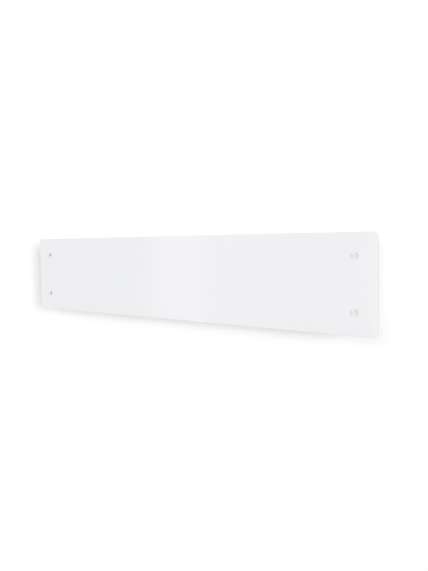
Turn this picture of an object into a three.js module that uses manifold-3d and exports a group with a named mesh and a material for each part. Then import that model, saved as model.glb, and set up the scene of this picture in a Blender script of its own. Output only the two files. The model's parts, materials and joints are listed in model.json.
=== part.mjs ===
// A slim wall-hung electric panel heater with a glass front.
// Millimetres, +Z up. The wall is the plane y = 0, the heater faces -Y and +X is to the right of a
// person facing it. The origin is on the back of the bracket rail, at the middle of the glass.

import * as THREE from 'three';
import { mergeVertices } from 'three/addons/utils/BufferGeometryUtils.js';
import Module from 'manifold-3d';

const wasm = await Module();
wasm.setup();

// Clearances shared by every piece
const seatGap = 0.3; // between two pieces that rest on each other
const overrun = 1; // how far a cutting shape runs past the face that it cuts

// Front glass
const glassWidth = 1150;
const glassHeight = 220;
const glassThickness = 5;
const glassCornerRadius = 8;
const glassEdgeBevel = 0.8;
const glassCornerSteps = 6;
const glassHoleRadius = 5;
const fixingInset = 50; // from each glass edge to the fixings near it

// Glass fixings
const capRadius = 8;
const capHeight = 2.7;
const capRimHeight = 1.1;
const capFlatRadius = 5;
const studRadius = 3;
const studClearance = 0.35;
const studOverhang = 2;
const spacerRadius = 9;
const glassStandoff = 3;
const nutWidth = 11;
const nutThickness = 4;

// Casing
const casingInset = 25; // from the glass ends to the casing ends
const casingTopDrop = 22; // from the glass top to the casing top
const casingBottomRise = 4; // from the glass bottom to the casing bottom
const casingDepth = 58;
const casingSheet = 1.2;
const rearTopReturn = 12;
const rearBottomReturn = 24;
const frontReturn = 10;
const latchTabWidth = 10;
const latchTabHeight = 7;

// End caps
const capWall = 2.5;
const capCornerRadius = 2;
const skirtDepth = 10;
const skirtWall = 1.8;
const capScrewInset = 22; // from the casing top and bottom
const capBossWidth = 9;
const capBossDepth = 9;
const capScrewRadius = 1.75;
const capScrewHeadRadius = 3.5;
const capScrewHeadHeight = 2;
const capScrewLength = 9;

// Air grilles
const grilleLap = 5; // under each casing return
const grilleRows = 3;
const grilleSlotLength = 34;
const grilleSlotWidth = 6.5;
const grilleBar = 6; // steel left between two slots of a row

// Wall bracket
const wallStandoff = 20; // from the wall to the casing back
const bracketSheet = 1.5;
const armFromEnd = 250; // from each casing end to the middle of an arm
const armWidth = 44;
const armBottomRise = 14; // from the casing bottom to the arm bottom
const railHeight = 40;
const railJoggle = 6; // length of the slope where the rail steps up over an arm
const railScrewSpacing = 200;
const wallScrewRadius = 3.2;
const wallScrewSlot = 14;
const armScrewDrop = 55; // from the arm top to its upper screw hole, and the same at the bottom
const webSpacing = 28;
const webWaist = 11; // depth of a web between its two bearing ends
const webEndHeight = 34;
const hookRise = 44; // from the casing bottom to the top of a hook's tongue
const hookThickness = 9;
const hookReach = 7;
const hookNose = 8;
const hookNoseDepth = 4;
const hookSlotSide = 1.2;
const hookSlotHeight = 22;
const earWidth = 32;
const earLift = 1.5; // from the casing top to the top of the ear

// Quarter-turn locks
const lockAxisOut = 10; // from the wall
const lockHubRadius = 6.5;
const lockPlateThickness = 3;
const lockClawRadius = 12.8;
const lockClawThickness = 3.2;
const lockClawHalfAngle = 28; // degrees
const lockScrewRadius = 2;
const lockScrewHeadRadius = 4;
const lockScrewHeadHeight = 1.8;
const lockScrewOverhang = 4; // below the ear
const runningClearance = 0.3;

// Heating element
const elementRise = 54; // from the casing bottom to the element axis
const elementEndRoom = 45; // from the end cap or partition to the finned body
const elementBodyRadius = 7.5;
const elementFinThickness = 2;
const elementFinReach = 19;
const elementFinPairs = 4;
const rodRadius = 4.25;
const rodOverhang = 14; // past each end of the finned body
const rodClearance = 0.35;
const bushRadius = 5.5;
const bushLength = 12;
const bushPinRadius = 1.5;
const bushPinLength = 6;
const supportSheet = 1.2;
const supportGap = 4; // from the finned body to its support
const supportHalfWidth = 11;
const supportFoot = 14;

// Partition and thermal cut-out
const partitionFoot = 9;
const wireHoleRadius = 9;
const cutoutFromPartition = 60;
const cutoutDrop = 62; // from the casing top to its shelf
const cutoutRadius = 8;
const cutoutHeight = 9;
const cutoutLugWidth = 6;
const cutoutShelfDepth = 26;
const cutoutShelfWidth = 24;
const cutoutFootHeight = 20;

// Control housing, window and board
const bezelProud = 0.6;
const bezelSide = 0.6; // between the bezel and the casing returns
const bezelWall = 3;
const housingWall = 2;
const housingHeight = 20;
const windowLength = 30;
const windowWidth = 15;
const windowThickness = 1.5;
const windowLedge = 2;
const windowFromEnd = 12;
const windowToKeys = 19; // from the window to the middle of the first key
const boardThickness = 1.6;
const tactHeight = 4;
const tactWidth = 6;

// Keys
const keyNames = ['button_minus', 'button_ok', 'button_plus'];
const keyWidth = 10;
const keyCornerRadius = 2.5;
const keyPitch = 14.5;
const keyFromEnd = 14;
const keyProud = 0.9;
const keyTravel = 0.8;
const keyFlange = 1;
const keyFlangeLip = 1.3;
const keyStemRadius = 2;
const keyClearance = 0.25;

// Power electronics
const carrierEndRoom = 6; // to the partition's foot and to the end cap
const carrierWall = 2;
const carrierReach = 14;
const powerBoardRise = 33; // from the terminal block to the board
const powerBoardDrop = 46; // from the casing top to the board top
const powerBoardOut = 10; // from the casing back to the board
const relayWidth = 19;
const relayHeight = 15.5;
const relayDepth = 15;
const terminalWidth = 30;
const terminalHeight = 17;
const terminalDepth = 15;
const terminalScrewRadius = 2.4;
const terminalScrewDepth = 5;
const terminalWays = 3;
const terminalBottomRise = 12;
const sensorRadius = 2.6;
const sensorHeight = 13;
const sensorFlangeRadius = 5;
const sensorFlange = 1.4;

// Rocker switch on the right end cap
const switchRise = 56; // from the casing bottom to the switch
const switchOut = 32; // from the casing back to the switch
const switchFrameWidth = 15;
const switchFrameLength = 21;
const switchFrameProud = 2;
const switchBodyWidth = 13;
const switchBodyLength = 19;
const switchBodyDepth = 16;
const switchPanelFit = 0.2;
const rockerWidth = 10;
const rockerLength = 15;
const rockerProud = 2.1;
const rockerDish = 1.1;
const rockerDepth = 4;
const rockerPinRadius = 1;
const rockerPinLength = 1;
const rockerSideClearance = 0.4;
const rockerTilt = 8; // degrees each way from level

// Cord inlet at the back
const glandFromEnd = 45;
const glandRise = 22; // from the casing bottom
const glandRadius = 6;
const glandBoreRadius = 3.8;
const glandFlangeRadius = 9.5;
const glandFlange = 3;
const glandCollarRadius = 7.5;
const glandCollar = 7;
const glandThread = 14;
const glandClearance = 0.25;
const glandNutWidth = 17;
const glandNutThickness = 4.5;

// Inner wires
const wireRadius = 1.3;
const wireSides = 6;
const wireStep = 8;
const wireMostSteps = 90;
const wireBend = 12;

// Sides of the round pieces
const capSides = 32;
const roundSides = 20;
const smallSides = 12;

// Planes and places worked out from the sizes above
const casingBackY = -wallStandoff;
const casingFrontY = casingBackY - casingDepth;
const glassBackY = casingFrontY - glassStandoff;
const glassFrontY = glassBackY - glassThickness;
const casingHalfWidth = glassWidth / 2 - casingInset;
const casingTopZ = glassHeight / 2 - casingTopDrop;
const casingBottomZ = -glassHeight / 2 + casingBottomRise;
const sheetEndX = casingHalfWidth - capWall - seatGap;
const innerBackY = casingBackY - casingSheet - seatGap;
const innerFrontY = casingFrontY + casingSheet + seatGap;
const innerTopZ = casingTopZ - casingSheet - seatGap;
const innerBottomZ = casingBottomZ + casingSheet + seatGap;
const skirtEndX = casingHalfWidth - capWall - skirtDepth;
const controlPanelLength =
  windowFromEnd + windowLength + windowToKeys + (keyNames.length - 1) * keyPitch + keyFromEnd;
const partitionX = skirtEndX - seatGap - controlPanelLength - seatGap - casingSheet;
const armX = casingHalfWidth - armFromEnd;
const fixingX = glassWidth / 2 - fixingInset;
const fixingZ = glassHeight / 2 - fixingInset;
const latchTopZ = casingTopZ + latchTabHeight;

// Colours of the finishes
const finishes = {
  glass: { color: 0xf1f3f5, roughness: 0.06, metalness: 0 },
  steelCap: { color: 0xd9dadb, roughness: 0.28, metalness: 0.9 },
  whitePaint: { color: 0xeeeff0, roughness: 0.5, metalness: 0 },
  whitePlastic: { color: 0xeceded, roughness: 0.45, metalness: 0 },
  zincSteel: { color: 0xb9bcbe, roughness: 0.4, metalness: 0.85 },
  aluminium: { color: 0xc9cccf, roughness: 0.35, metalness: 0.9 },
  rodSteel: { color: 0x8d8f90, roughness: 0.4, metalness: 0.8 },
  ceramic: { color: 0xe9e4da, roughness: 0.6, metalness: 0 },
  rubber: { color: 0x2b2b2c, roughness: 0.8, metalness: 0 },
  blackPlastic: { color: 0x232425, roughness: 0.5, metalness: 0 },
  greyPlastic: { color: 0x9a9d9f, roughness: 0.5, metalness: 0 },
  darkWindow: { color: 0x111314, roughness: 0.08, metalness: 0 },
  board: { color: 0x1f5a3a, roughness: 0.5, metalness: 0 },
  brownWire: { color: 0x6b4226, roughness: 0.5, metalness: 0 },
  blueWire: { color: 0x2f5fa8, roughness: 0.5, metalness: 0 },
};

// Making and placing solids

const X = new THREE.Vector3(1, 0, 0);
const Y = new THREE.Vector3(0, 1, 0);
const Z = new THREE.Vector3(0, 0, 1);
const minusY = new THREE.Vector3(0, -1, 0);
const minusZ = new THREE.Vector3(0, 0, -1);
const quarterTurn = Math.PI / 2;
const sides = [-1, 1];
const sideNames = { '-1': 'left', 1: 'right' };
const heightNames = { '-1': 'lower', 1: 'upper' };

// An outline lies in (y, z) along x, in (x, z) along y and in (x, y) along z.
const prismBases = { x: [Y, Z, X], y: [X, Z, minusY], z: [X, Y, Z] };
const turnedBases = { x: [Y, X, minusZ], y: [X, Y, Z], z: [X, Z, minusY] };

// The closed solid that a geometry's triangles bound.
function solid(geometry) {
  geometry.deleteAttribute('normal');
  geometry.deleteAttribute('uv');
  const merged = mergeVertices(geometry);
  const index = merged.index.array;
  const kept = [];
  for (let i = 0; i < index.length; i += 3) {
    const [a, b, c] = index.slice(i, i + 3);
    if (a !== b && b !== c && c !== a) kept.push(a, b, c);
  }
  return new wasm.Manifold(
    new wasm.Mesh({
      numProp: 3,
      vertProperties: merged.attributes.position.array,
      triVerts: new Uint32Array(kept),
    })
  );
}

// A point along an axis with the other two coordinates in that axis's outline order.
function pointOn(axis, along, [u, v] = [0, 0]) {
  if (axis === 'x') return [along, u, v];
  return axis === 'y' ? [u, along, v] : [u, v, along];
}

function shapeOf(outline, holes = []) {
  const shape = new THREE.Shape(outline.map(([u, v]) => new THREE.Vector2(u, v)));
  shape.holes = holes.map((hole) => new THREE.Path(hole.map(([u, v]) => new THREE.Vector2(u, v))));
  return shape;
}

// An outline carried straight along an axis, between two places on it.
function prism(axis, from, to, outline, holes = []) {
  const low = Math.min(from, to);
  const high = Math.max(from, to);
  const geometry = new THREE.ExtrudeGeometry(shapeOf(outline, holes), {
    depth: high - low,
    bevelEnabled: false,
  });
  geometry.applyMatrix4(new THREE.Matrix4().makeBasis(...prismBases[axis]));
  geometry.translate(...pointOn(axis, axis === 'y' ? high : low));
  return solid(geometry);
}

// A profile of [radius, place along the axis] points, lowest place first, turned about the axis.
function turned(axis, centre, profile, count = roundSides) {
  const points = profile.map(([radius, along]) => new THREE.Vector2(radius, along));
  const geometry = new THREE.LatheGeometry(points, count);
  geometry.applyMatrix4(new THREE.Matrix4().makeBasis(...turnedBases[axis]));
  geometry.translate(...pointOn(axis, 0, centre));
  return solid(geometry);
}

function block([x0, x1], [y0, y1], [z0, z1]) {
  return prism('z', z0, z1, rectangle([x0, x1], [y0, y1]));
}

function rectangle([u0, u1], [v0, v1]) {
  return [[u0, v0], [u1, v0], [u1, v1], [u0, v1]];
}

function circle(radius, [u, v] = [0, 0], count = roundSides) {
  return Array.from({ length: count }, (_, i) => {
    const angle = (i / count) * 2 * Math.PI;
    return [u + radius * Math.cos(angle), v + radius * Math.sin(angle)];
  });
}

function hexagon(acrossFlats, centre) {
  return circle(acrossFlats / 2 / Math.cos(Math.PI / 6), centre, 6);
}

function rod(axis, radius, from, to, centre, count = roundSides) {
  return prism(axis, from, to, circle(radius, centre, count));
}

// Corners are quarter circles, each in a few steps.
function roundedRectangle([u0, u1], [v0, v1], radius, steps = 4) {
  const centres = [[u1, v0], [u1, v1], [u0, v1], [u0, v0]];
  return centres.flatMap(([u, v], corner) => {
    const cu = u + Math.sign(u0 + u1 - 2 * u) * radius;
    const cv = v + Math.sign(v0 + v1 - 2 * v) * radius;
    return Array.from({ length: steps + 1 }, (_, i) => {
      const angle = (corner - 1 + i / steps) * quarterTurn;
      return [cu + radius * Math.cos(angle), cv + radius * Math.sin(angle)];
    });
  });
}

// The part of a ring between two radii, centred on a direction; an inner radius of 0 gives a wedge.
function ringSector(inner, outer, [u, v], middle, halfAngle, steps = 6) {
  const arc = (radius, from, to) =>
    Array.from({ length: steps + 1 }, (_, i) => {
      const angle = from + ((to - from) * i) / steps;
      return [u + radius * Math.cos(angle), v + radius * Math.sin(angle)];
    });
  const outerArc = arc(outer, middle - halfAngle, middle + halfAngle);
  const innerArc = inner > 0 ? arc(inner, middle + halfAngle, middle - halfAngle) : [[u, v]];
  return [...outerArc, ...innerArc];
}

// A wire of round section along a smooth curve through its points.
function wire(points) {
  const curve = new THREE.CatmullRomCurve3(
    points.map((point) => new THREE.Vector3(...point)),
    false,
    'centripetal'
  );
  const steps = Math.min(wireMostSteps, Math.ceil(curve.getLength() / wireStep));
  const geometry = new THREE.ExtrudeGeometry(shapeOf(circle(wireRadius, [0, 0], wireSides)), {
    steps,
    extrudePath: curve,
    bevelEnabled: false,
  });
  return solid(geometry);
}

const middleOf = (a, b) => (a + b) / 2;
const around = (middle, width) => [middle - width / 2, middle + width / 2];
const radians = (degrees) => THREE.MathUtils.degToRad(degrees);

// Front glass and its four fixings

const fixings = sides.flatMap((side) =>
  sides.map((height) => ({
    name: `${sideNames[side]}_${heightNames[height]}`,
    place: [side * fixingX, height * fixingZ],
  }))
);

function frontGlass() {
  const inset = (full) => [glassEdgeBevel - full / 2, full / 2 - glassEdgeBevel];
  const outline = roundedRectangle(
    inset(glassWidth),
    inset(glassHeight),
    glassCornerRadius - glassEdgeBevel,
    glassCornerSteps
  );
  const geometry = new THREE.ExtrudeGeometry(shapeOf(outline), {
    depth: glassThickness - 2 * glassEdgeBevel,
    bevelThickness: glassEdgeBevel,
    bevelSize: glassEdgeBevel,
    bevelSegments: 1,
  });
  geometry.applyMatrix4(new THREE.Matrix4().makeBasis(...prismBases.y));
  geometry.translate(0, glassBackY - glassEdgeBevel, 0);
  return fixings.reduce(
    (glass, { place }) =>
      glass.subtract(rod('y', glassHoleRadius, glassFrontY - overrun, glassBackY + overrun, place)),
    solid(geometry)
  );
}

function fixingCap(place) {
  const seat = glassFrontY - seatGap;
  const face = seat - capHeight;
  const studEnd = innerFrontY + nutThickness + studOverhang;
  const profile = [
    [0, face],
    [capFlatRadius, face],
    [capRadius, seat - capRimHeight],
    [capRadius, seat],
    [studRadius, seat],
    [studRadius, studEnd],
    [0, studEnd],
  ];
  return turned('y', place, profile, capSides);
}

function glassSpacer(place) {
  const [front, back] = [glassBackY + seatGap, casingFrontY - seatGap];
  return prism('y', front, back, circle(spacerRadius, place), [studBore(place)]);
}

function fixingNut(place) {
  const corners = hexagon(nutWidth, place);
  return prism('y', innerFrontY, innerFrontY + nutThickness, corners, [studBore(place)]);
}

const studBore = (place) => circle(studRadius + studClearance, place);

// Casing

const arms = sides.map((side) => ({ side, x: side * armX }));
const webXs = arms.flatMap(({ x }) => sides.map((side) => x + (side * webSpacing) / 2));
const hookTopZ = casingBottomZ + hookRise;
const gland = [skirtEndX - glandFromEnd, casingBottomZ + glandRise];
const capScrewZs = [casingBottomZ + capScrewInset, casingTopZ - capScrewInset];
const capScrewX = skirtEndX + skirtDepth / 2;

function rearCasing() {
  const innerFace = casingBackY - casingSheet;
  const topLip = casingBackY - rearTopReturn;
  const bottomLip = casingBackY - rearBottomReturn;
  const section = [
    [casingBackY, casingTopZ],
    [casingBackY, casingBottomZ],
    [bottomLip, casingBottomZ],
    [bottomLip, casingBottomZ + casingSheet],
    [innerFace, casingBottomZ + casingSheet],
    [innerFace, casingTopZ - casingSheet],
    [topLip, casingTopZ - casingSheet],
    [topLip, casingTopZ],
  ];
  const through = [casingBackY + overrun, innerFace - overrun];
  let casing = prism('x', -sheetEndX, sheetEndX, section);
  for (const { x } of arms) {
    const tab = block(
      around(x, latchTabWidth),
      [casingBackY, innerFace],
      [casingTopZ - casingSheet, latchTopZ]
    );
    casing = casing.add(tab);
  }
  for (const x of webXs) {
    const top = hookTopZ + seatGap;
    const slot = around(x, bracketSheet + 2 * hookSlotSide);
    casing = casing.subtract(block(slot, through, [top - hookSlotHeight, top]));
  }
  casing = casing.subtract(rod('y', glandRadius + glandClearance, ...through, gland));
  for (const side of sides) {
    for (const z of capScrewZs) {
      const hole = [side * capScrewX, z];
      casing = casing.subtract(
        rod('y', capScrewRadius + seatGap, ...through, hole, smallSides)
      );
    }
  }
  return casing;
}

function frontPlate() {
  const innerFace = casingFrontY + casingSheet;
  const lip = casingFrontY + frontReturn;
  const section = [
    [casingFrontY, casingTopZ],
    [casingFrontY, casingBottomZ],
    [lip, casingBottomZ],
    [lip, casingBottomZ + casingSheet],
    [innerFace, casingBottomZ + casingSheet],
    [innerFace, casingTopZ - casingSheet],
    [lip, casingTopZ - casingSheet],
    [lip, casingTopZ],
  ];
  return fixings.reduce(
    (plate, { place }) =>
      plate.subtract(
        rod('y', studRadius + studClearance, casingFrontY - overrun, innerFace + overrun, place)
      ),
    prism('x', -sheetEndX, sheetEndX, section)
  );
}

function endCap(side) {
  const wallInner = side * (casingHalfWidth - capWall);
  const wallMiddle = side * (casingHalfWidth - capWall / 2);
  const skirtEnd = side * skirtEndX;
  const outer = roundedRectangle(
    [casingFrontY, casingBackY],
    [casingBottomZ, casingTopZ],
    capCornerRadius
  );
  const skirtOutside = rectangle([innerFrontY, innerBackY], [innerBottomZ, innerTopZ]);
  const skirtInside = rectangle(
    [innerFrontY + skirtWall, innerBackY - skirtWall],
    [innerBottomZ + skirtWall, innerTopZ - skirtWall]
  );
  let cap = prism('x', wallInner, side * casingHalfWidth, outer);
  cap = cap.add(prism('x', skirtEnd, wallMiddle, skirtOutside, [skirtInside]));
  for (const z of capScrewZs) {
    const boss = block(
      [skirtEnd, wallMiddle],
      [innerBackY, innerBackY - capBossDepth],
      around(z, capBossWidth)
    );
    const place = [side * capScrewX, z];
    const bore = rod(
      'y',
      capScrewRadius + seatGap,
      innerBackY + overrun,
      innerBackY - capBossDepth - overrun,
      place,
      smallSides
    );
    cap = cap.add(boss).subtract(bore);
  }
  if (side > 0) cap = cap.subtract(switchOpening());
  return cap;
}

function capScrew(side, z) {
  const seat = casingBackY + seatGap;
  const tip = seat - capScrewLength;
  const profile = [
    [0, tip],
    [capScrewRadius, tip],
    [capScrewRadius, seat],
    [capScrewHeadRadius, seat],
    [capScrewHeadRadius, seat + capScrewHeadHeight],
    [0, seat + capScrewHeadHeight],
  ];
  return turned('y', [side * capScrewX, z], profile, smallSides);
}

// Air grilles, which lie inside the casing returns

const outletOpening = [casingBackY - rearTopReturn, casingFrontY + frontReturn];
const inletOpening = [casingBackY - rearBottomReturn, casingFrontY + frontReturn];
const lapped = ([back, front]) => [back + grilleLap, front - grilleLap];
const ductStartX = -skirtEndX + seatGap;
const outletEndX = partitionX + casingSheet;
const inletEndX = skirtEndX - seatGap;
const ductEndX = partitionX - seatGap;
const outletGrilleZ = innerTopZ - casingSheet;
const inletGrilleZ = innerBottomZ + casingSheet;

// Slots in rows along x, centred over the duct, cut right through a sheet between two heights.
function grilleSlots(opening, rows, [low, high]) {
  const pitch = grilleSlotLength + grilleBar;
  const count = Math.floor((ductEndX - ductStartX - grilleBar) / pitch);
  const middleX = middleOf(ductStartX, ductEndX);
  const rowPitch = Math.abs(opening[1] - opening[0]) / rows;
  const slots = [];
  for (let row = 0; row < rows; row += 1) {
    const y = middleOf(...opening) + (row - (rows - 1) / 2) * rowPitch;
    for (let column = 0; column < count; column += 1) {
      const x = middleX + (column - (count - 1) / 2) * pitch;
      slots.push(
        block(
          around(x, grilleSlotLength),
          around(y, grilleSlotWidth),
          [low - overrun, high + overrun]
        )
      );
    }
  }
  return slots.reduce((all, slot) => all.add(slot));
}

function outletGrille() {
  const sheet = block([ductStartX, outletEndX], lapped(outletOpening), [outletGrilleZ, innerTopZ]);
  return sheet.subtract(grilleSlots(outletOpening, grilleRows, [outletGrilleZ, innerTopZ]));
}

function inletGrille() {
  const sheet = block([ductStartX, inletEndX], lapped(inletOpening), [innerBottomZ, inletGrilleZ]);
  return sheet.subtract(grilleSlots(inletOpening, grilleRows - 1, [innerBottomZ, inletGrilleZ]));
}

// Wall bracket: a rail that laps over two arms, all flat against the wall

const armBottomZ = casingBottomZ + armBottomRise;
const earTopZ = casingTopZ + earLift;
const railLap = bracketSheet + seatGap;
const bearingY = casingBackY + seatGap;

function bracketRail() {
  const end = armX + armWidth / 2;
  const lapStart = armX - armWidth / 2 - seatGap;
  const flatEnd = lapStart - railJoggle;
  const half = [
    [flatEnd, 0],
    [lapStart, -railLap],
    [end, -railLap],
    [end, -railLap - bracketSheet],
    [lapStart, -railLap - bracketSheet],
    [flatEnd, -bracketSheet],
  ];
  const mirrored = half.map(([x, y]) => [-x, y]).reverse();
  const rail = prism('z', -railHeight / 2, railHeight / 2, [...half, ...mirrored]);
  return sides.reduce((cut, side) => {
    const slot = roundedRectangle(
      around((side * railScrewSpacing) / 2, wallScrewSlot),
      around(0, 2 * wallScrewRadius),
      wallScrewRadius
    );
    return cut.subtract(prism('y', overrun, -bracketSheet - overrun, slot));
  }, rail);
}

function bracketArm(x) {
  const upperEnd = earTopZ - webEndHeight;
  const lowerEnd = hookTopZ + webEndHeight;
  const waistRamp = -bearingY - webWaist;
  const hookEnd = casingBackY - hookReach;
  const webOutline = [
    [0, earTopZ],
    [bearingY, earTopZ],
    [bearingY, upperEnd],
    [-webWaist, upperEnd - waistRamp],
    [-webWaist, lowerEnd + waistRamp],
    [bearingY, lowerEnd],
    [bearingY, hookTopZ],
    [hookEnd + hookNoseDepth, hookTopZ],
    [hookEnd + hookNoseDepth, hookTopZ + hookNose],
    [hookEnd, hookTopZ + hookNose],
    [hookEnd, hookTopZ - hookThickness],
    [bearingY, hookTopZ - hookThickness],
    [bearingY, armBottomZ],
    [0, armBottomZ],
  ];
  let arm = block(around(x, armWidth), [0, -bracketSheet], [armBottomZ, earTopZ]);
  arm = arm.add(block(around(x, earWidth), [0, bearingY], [earTopZ - bracketSheet, earTopZ]));
  for (const side of sides) {
    const web = around(x + (side * webSpacing) / 2, bracketSheet);
    arm = arm.add(prism('x', ...web, webOutline));
  }
  const railNotch = block(
    around(x, armWidth + 2 * overrun),
    [-bracketSheet, -railLap - bracketSheet - seatGap],
    around(0, railHeight + 2 * seatGap)
  );
  arm = arm.subtract(railNotch);
  for (const z of [earTopZ - armScrewDrop, armBottomZ + armScrewDrop]) {
    const hole = rod('y', wallScrewRadius, overrun, -bracketSheet - overrun, [x, z], smallSides);
    arm = arm.subtract(hole);
  }
  const lockHole = rod(
    'z',
    lockScrewRadius + runningClearance,
    earTopZ - bracketSheet - overrun,
    earTopZ + overrun,
    [x, -lockAxisOut],
    smallSides
  );
  return arm.subtract(lockHole);
}

// Quarter-turn locks: a claw swings round the front of each tab of the rear casing

const lockBottomZ = earTopZ + runningClearance;
const lockPlateZ = latchTopZ + runningClearance;
const lockTopZ = lockPlateZ + lockPlateThickness;

function lock(x) {
  const axis = [x, -lockAxisOut];
  const clawOuter = lockClawRadius + lockClawThickness;
  const halfAngle = radians(lockClawHalfAngle);
  const hub = rod('z', lockHubRadius, lockBottomZ, lockTopZ, axis);
  const wedge = ringSector(0, clawOuter, axis, -quarterTurn, halfAngle);
  const claw = ringSector(lockClawRadius, clawOuter, axis, -quarterTurn, halfAngle);
  const bore = rod(
    'z',
    lockScrewRadius + runningClearance,
    lockBottomZ - overrun,
    lockTopZ + overrun,
    axis,
    smallSides
  );
  return hub
    .add(prism('z', lockPlateZ, lockTopZ, wedge))
    .add(prism('z', lockBottomZ, lockTopZ, claw))
    .subtract(bore);
}

function lockScrew(x) {
  const seat = lockTopZ + runningClearance;
  const tip = earTopZ - bracketSheet - lockScrewOverhang;
  const profile = [
    [0, tip],
    [lockScrewRadius, tip],
    [lockScrewRadius, seat],
    [lockScrewHeadRadius, seat],
    [lockScrewHeadRadius, seat + lockScrewHeadHeight],
    [0, seat + lockScrewHeadHeight],
  ];
  return turned('z', [x, -lockAxisOut], profile, smallSides);
}

// Heating element: a sheathed rod through a finned aluminium body

const element = [middleOf(casingBackY, casingFrontY), casingBottomZ + elementRise];
const finnedEnds = [ductStartX + elementEndRoom, ductEndX - elementEndRoom];
const rodEnds = [finnedEnds[0] - rodOverhang, finnedEnds[1] + rodOverhang];
const bushEndOffset = seatGap + bushLength + bushPinLength;

function elementFins() {
  const half = elementFinThickness / 2;
  const root = Math.sqrt(elementBodyRadius ** 2 - half ** 2);
  const count = 2 * elementFinPairs;
  const outline = Array.from({ length: count }, (_, i) => {
    const angle = ((i + 0.5) / count) * 2 * Math.PI;
    const [c, s] = [Math.cos(angle), Math.sin(angle)];
    const corners = [[root, -half], [elementFinReach, -half], [elementFinReach, half], [root, half]];
    return corners.map(([out, across]) => [
      element[0] + out * c - across * s,
      element[1] + out * s + across * c,
    ]);
  }).flat();
  return prism('x', ...finnedEnds, outline, [circle(rodRadius + rodClearance, element)]);
}

const elementRod = () => rod('x', rodRadius, ...rodEnds, element);

function elementBush(side) {
  const seat = (side < 0 ? rodEnds[0] : rodEnds[1]) + side * seatGap;
  const shoulder = seat + side * bushLength;
  const pinEnd = shoulder + side * bushPinLength;
  const outwards = [
    [0, seat],
    [bushRadius, seat],
    [bushRadius, shoulder],
    [bushPinRadius, shoulder],
    [bushPinRadius, pinEnd],
    [0, pinEnd],
  ];
  return turned('x', element, side < 0 ? outwards.reverse() : outwards, smallSides);
}

// An angle of sheet steel: a foot on the casing back and a plate square to it that holds the rod.
function elementSupport(side) {
  const near = (side < 0 ? finnedEnds[0] : finnedEnds[1]) + side * supportGap;
  const far = near + side * supportSheet;
  const plateEnd = element[0] - supportHalfWidth;
  const outline = [
    [near, innerBackY],
    [near, plateEnd],
    [far, plateEnd],
    [far, innerBackY - supportSheet],
    [near + side * supportFoot, innerBackY - supportSheet],
    [near + side * supportFoot, innerBackY],
  ];
  const bore = rod('x', rodRadius + rodClearance, near - side * overrun, far + side * overrun, element);
  return prism('z', ...around(element[1], 2 * supportHalfWidth), outline).subtract(bore);
}

// Partition between the hot duct and the electrics, and the cut-out on its shelf

const cutoutX = partitionX - cutoutFromPartition;
const cutoutShelfZ = casingTopZ - cutoutDrop;
const cutoutY = innerBackY - cutoutShelfDepth + cutoutRadius;
const cutoutWireHole = [cutoutY, cutoutShelfZ + cutoutHeight + wireHoleRadius];

function partition() {
  const outline = [
    [partitionX, innerBackY],
    [partitionX, innerFrontY],
    [partitionX + casingSheet, innerFrontY],
    [partitionX + casingSheet, innerBackY - casingSheet],
    [partitionX + partitionFoot, innerBackY - casingSheet],
    [partitionX + partitionFoot, innerBackY],
  ];
  const bottom = innerBottomZ + casingSheet + seatGap;
  const top = innerTopZ - casingSheet - seatGap;
  return [element, cutoutWireHole].reduce(
    (plate, hole) =>
      plate.subtract(
        rod('x', wireHoleRadius, partitionX - overrun, partitionX + casingSheet + overrun, hole)
      ),
    prism('z', bottom, top, outline)
  );
}

function cutoutBracket() {
  const foot = innerBackY - casingSheet;
  const outline = [
    [innerBackY, cutoutShelfZ + cutoutFootHeight],
    [foot, cutoutShelfZ + cutoutFootHeight],
    [foot, cutoutShelfZ],
    [innerBackY - cutoutShelfDepth, cutoutShelfZ],
    [innerBackY - cutoutShelfDepth, cutoutShelfZ - casingSheet],
    [innerBackY, cutoutShelfZ - casingSheet],
  ];
  return prism('x', ...around(cutoutX, cutoutShelfWidth), outline);
}

function thermalCutout() {
  const seat = cutoutShelfZ + seatGap;
  const flangeTop = seat + cutoutHeight / 3;
  const top = seat + cutoutHeight;
  const neck = cutoutRadius - casingSheet;
  const profile = [
    [0, seat],
    [cutoutRadius, seat],
    [cutoutRadius, flangeTop],
    [neck, flangeTop],
    [neck, top],
    [0, top],
  ];
  return sides.reduce(
    (body, side) =>
      body.add(
        block(
          around(cutoutX + (side * neck) / 2, casingSheet),
          around(cutoutY, cutoutLugWidth),
          [flangeTop, top + cutoutLugWidth]
        )
      ),
    turned('z', [cutoutX, cutoutY], profile)
  );
}

// Control housing in the casing top, with its window, keys and board

const bezelTopZ = casingTopZ + bezelProud;
const bezelUndersideZ = bezelTopZ - bezelWall;
const housingBottomZ = casingTopZ - housingHeight;
const housingEnds = [outletEndX + seatGap, skirtEndX - seatGap];
const housingSides = [outletOpening[0] - bezelSide, outletOpening[1] + bezelSide];
const controlY = middleOf(...outletOpening);
const windowX = housingEnds[0] + windowFromEnd + windowLength / 2;
const windowFloorZ = bezelTopZ - windowThickness - seatGap;
const displayBoardTopZ = housingBottomZ - seatGap;
const keyXs = keyNames.map((_, i) => housingEnds[1] - keyFromEnd - (keyNames.length - 1 - i) * keyPitch);

function keyOutline(x, grow) {
  const width = keyWidth + 2 * grow;
  return roundedRectangle(around(x, width), around(controlY, width), keyCornerRadius + grow);
}

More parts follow.
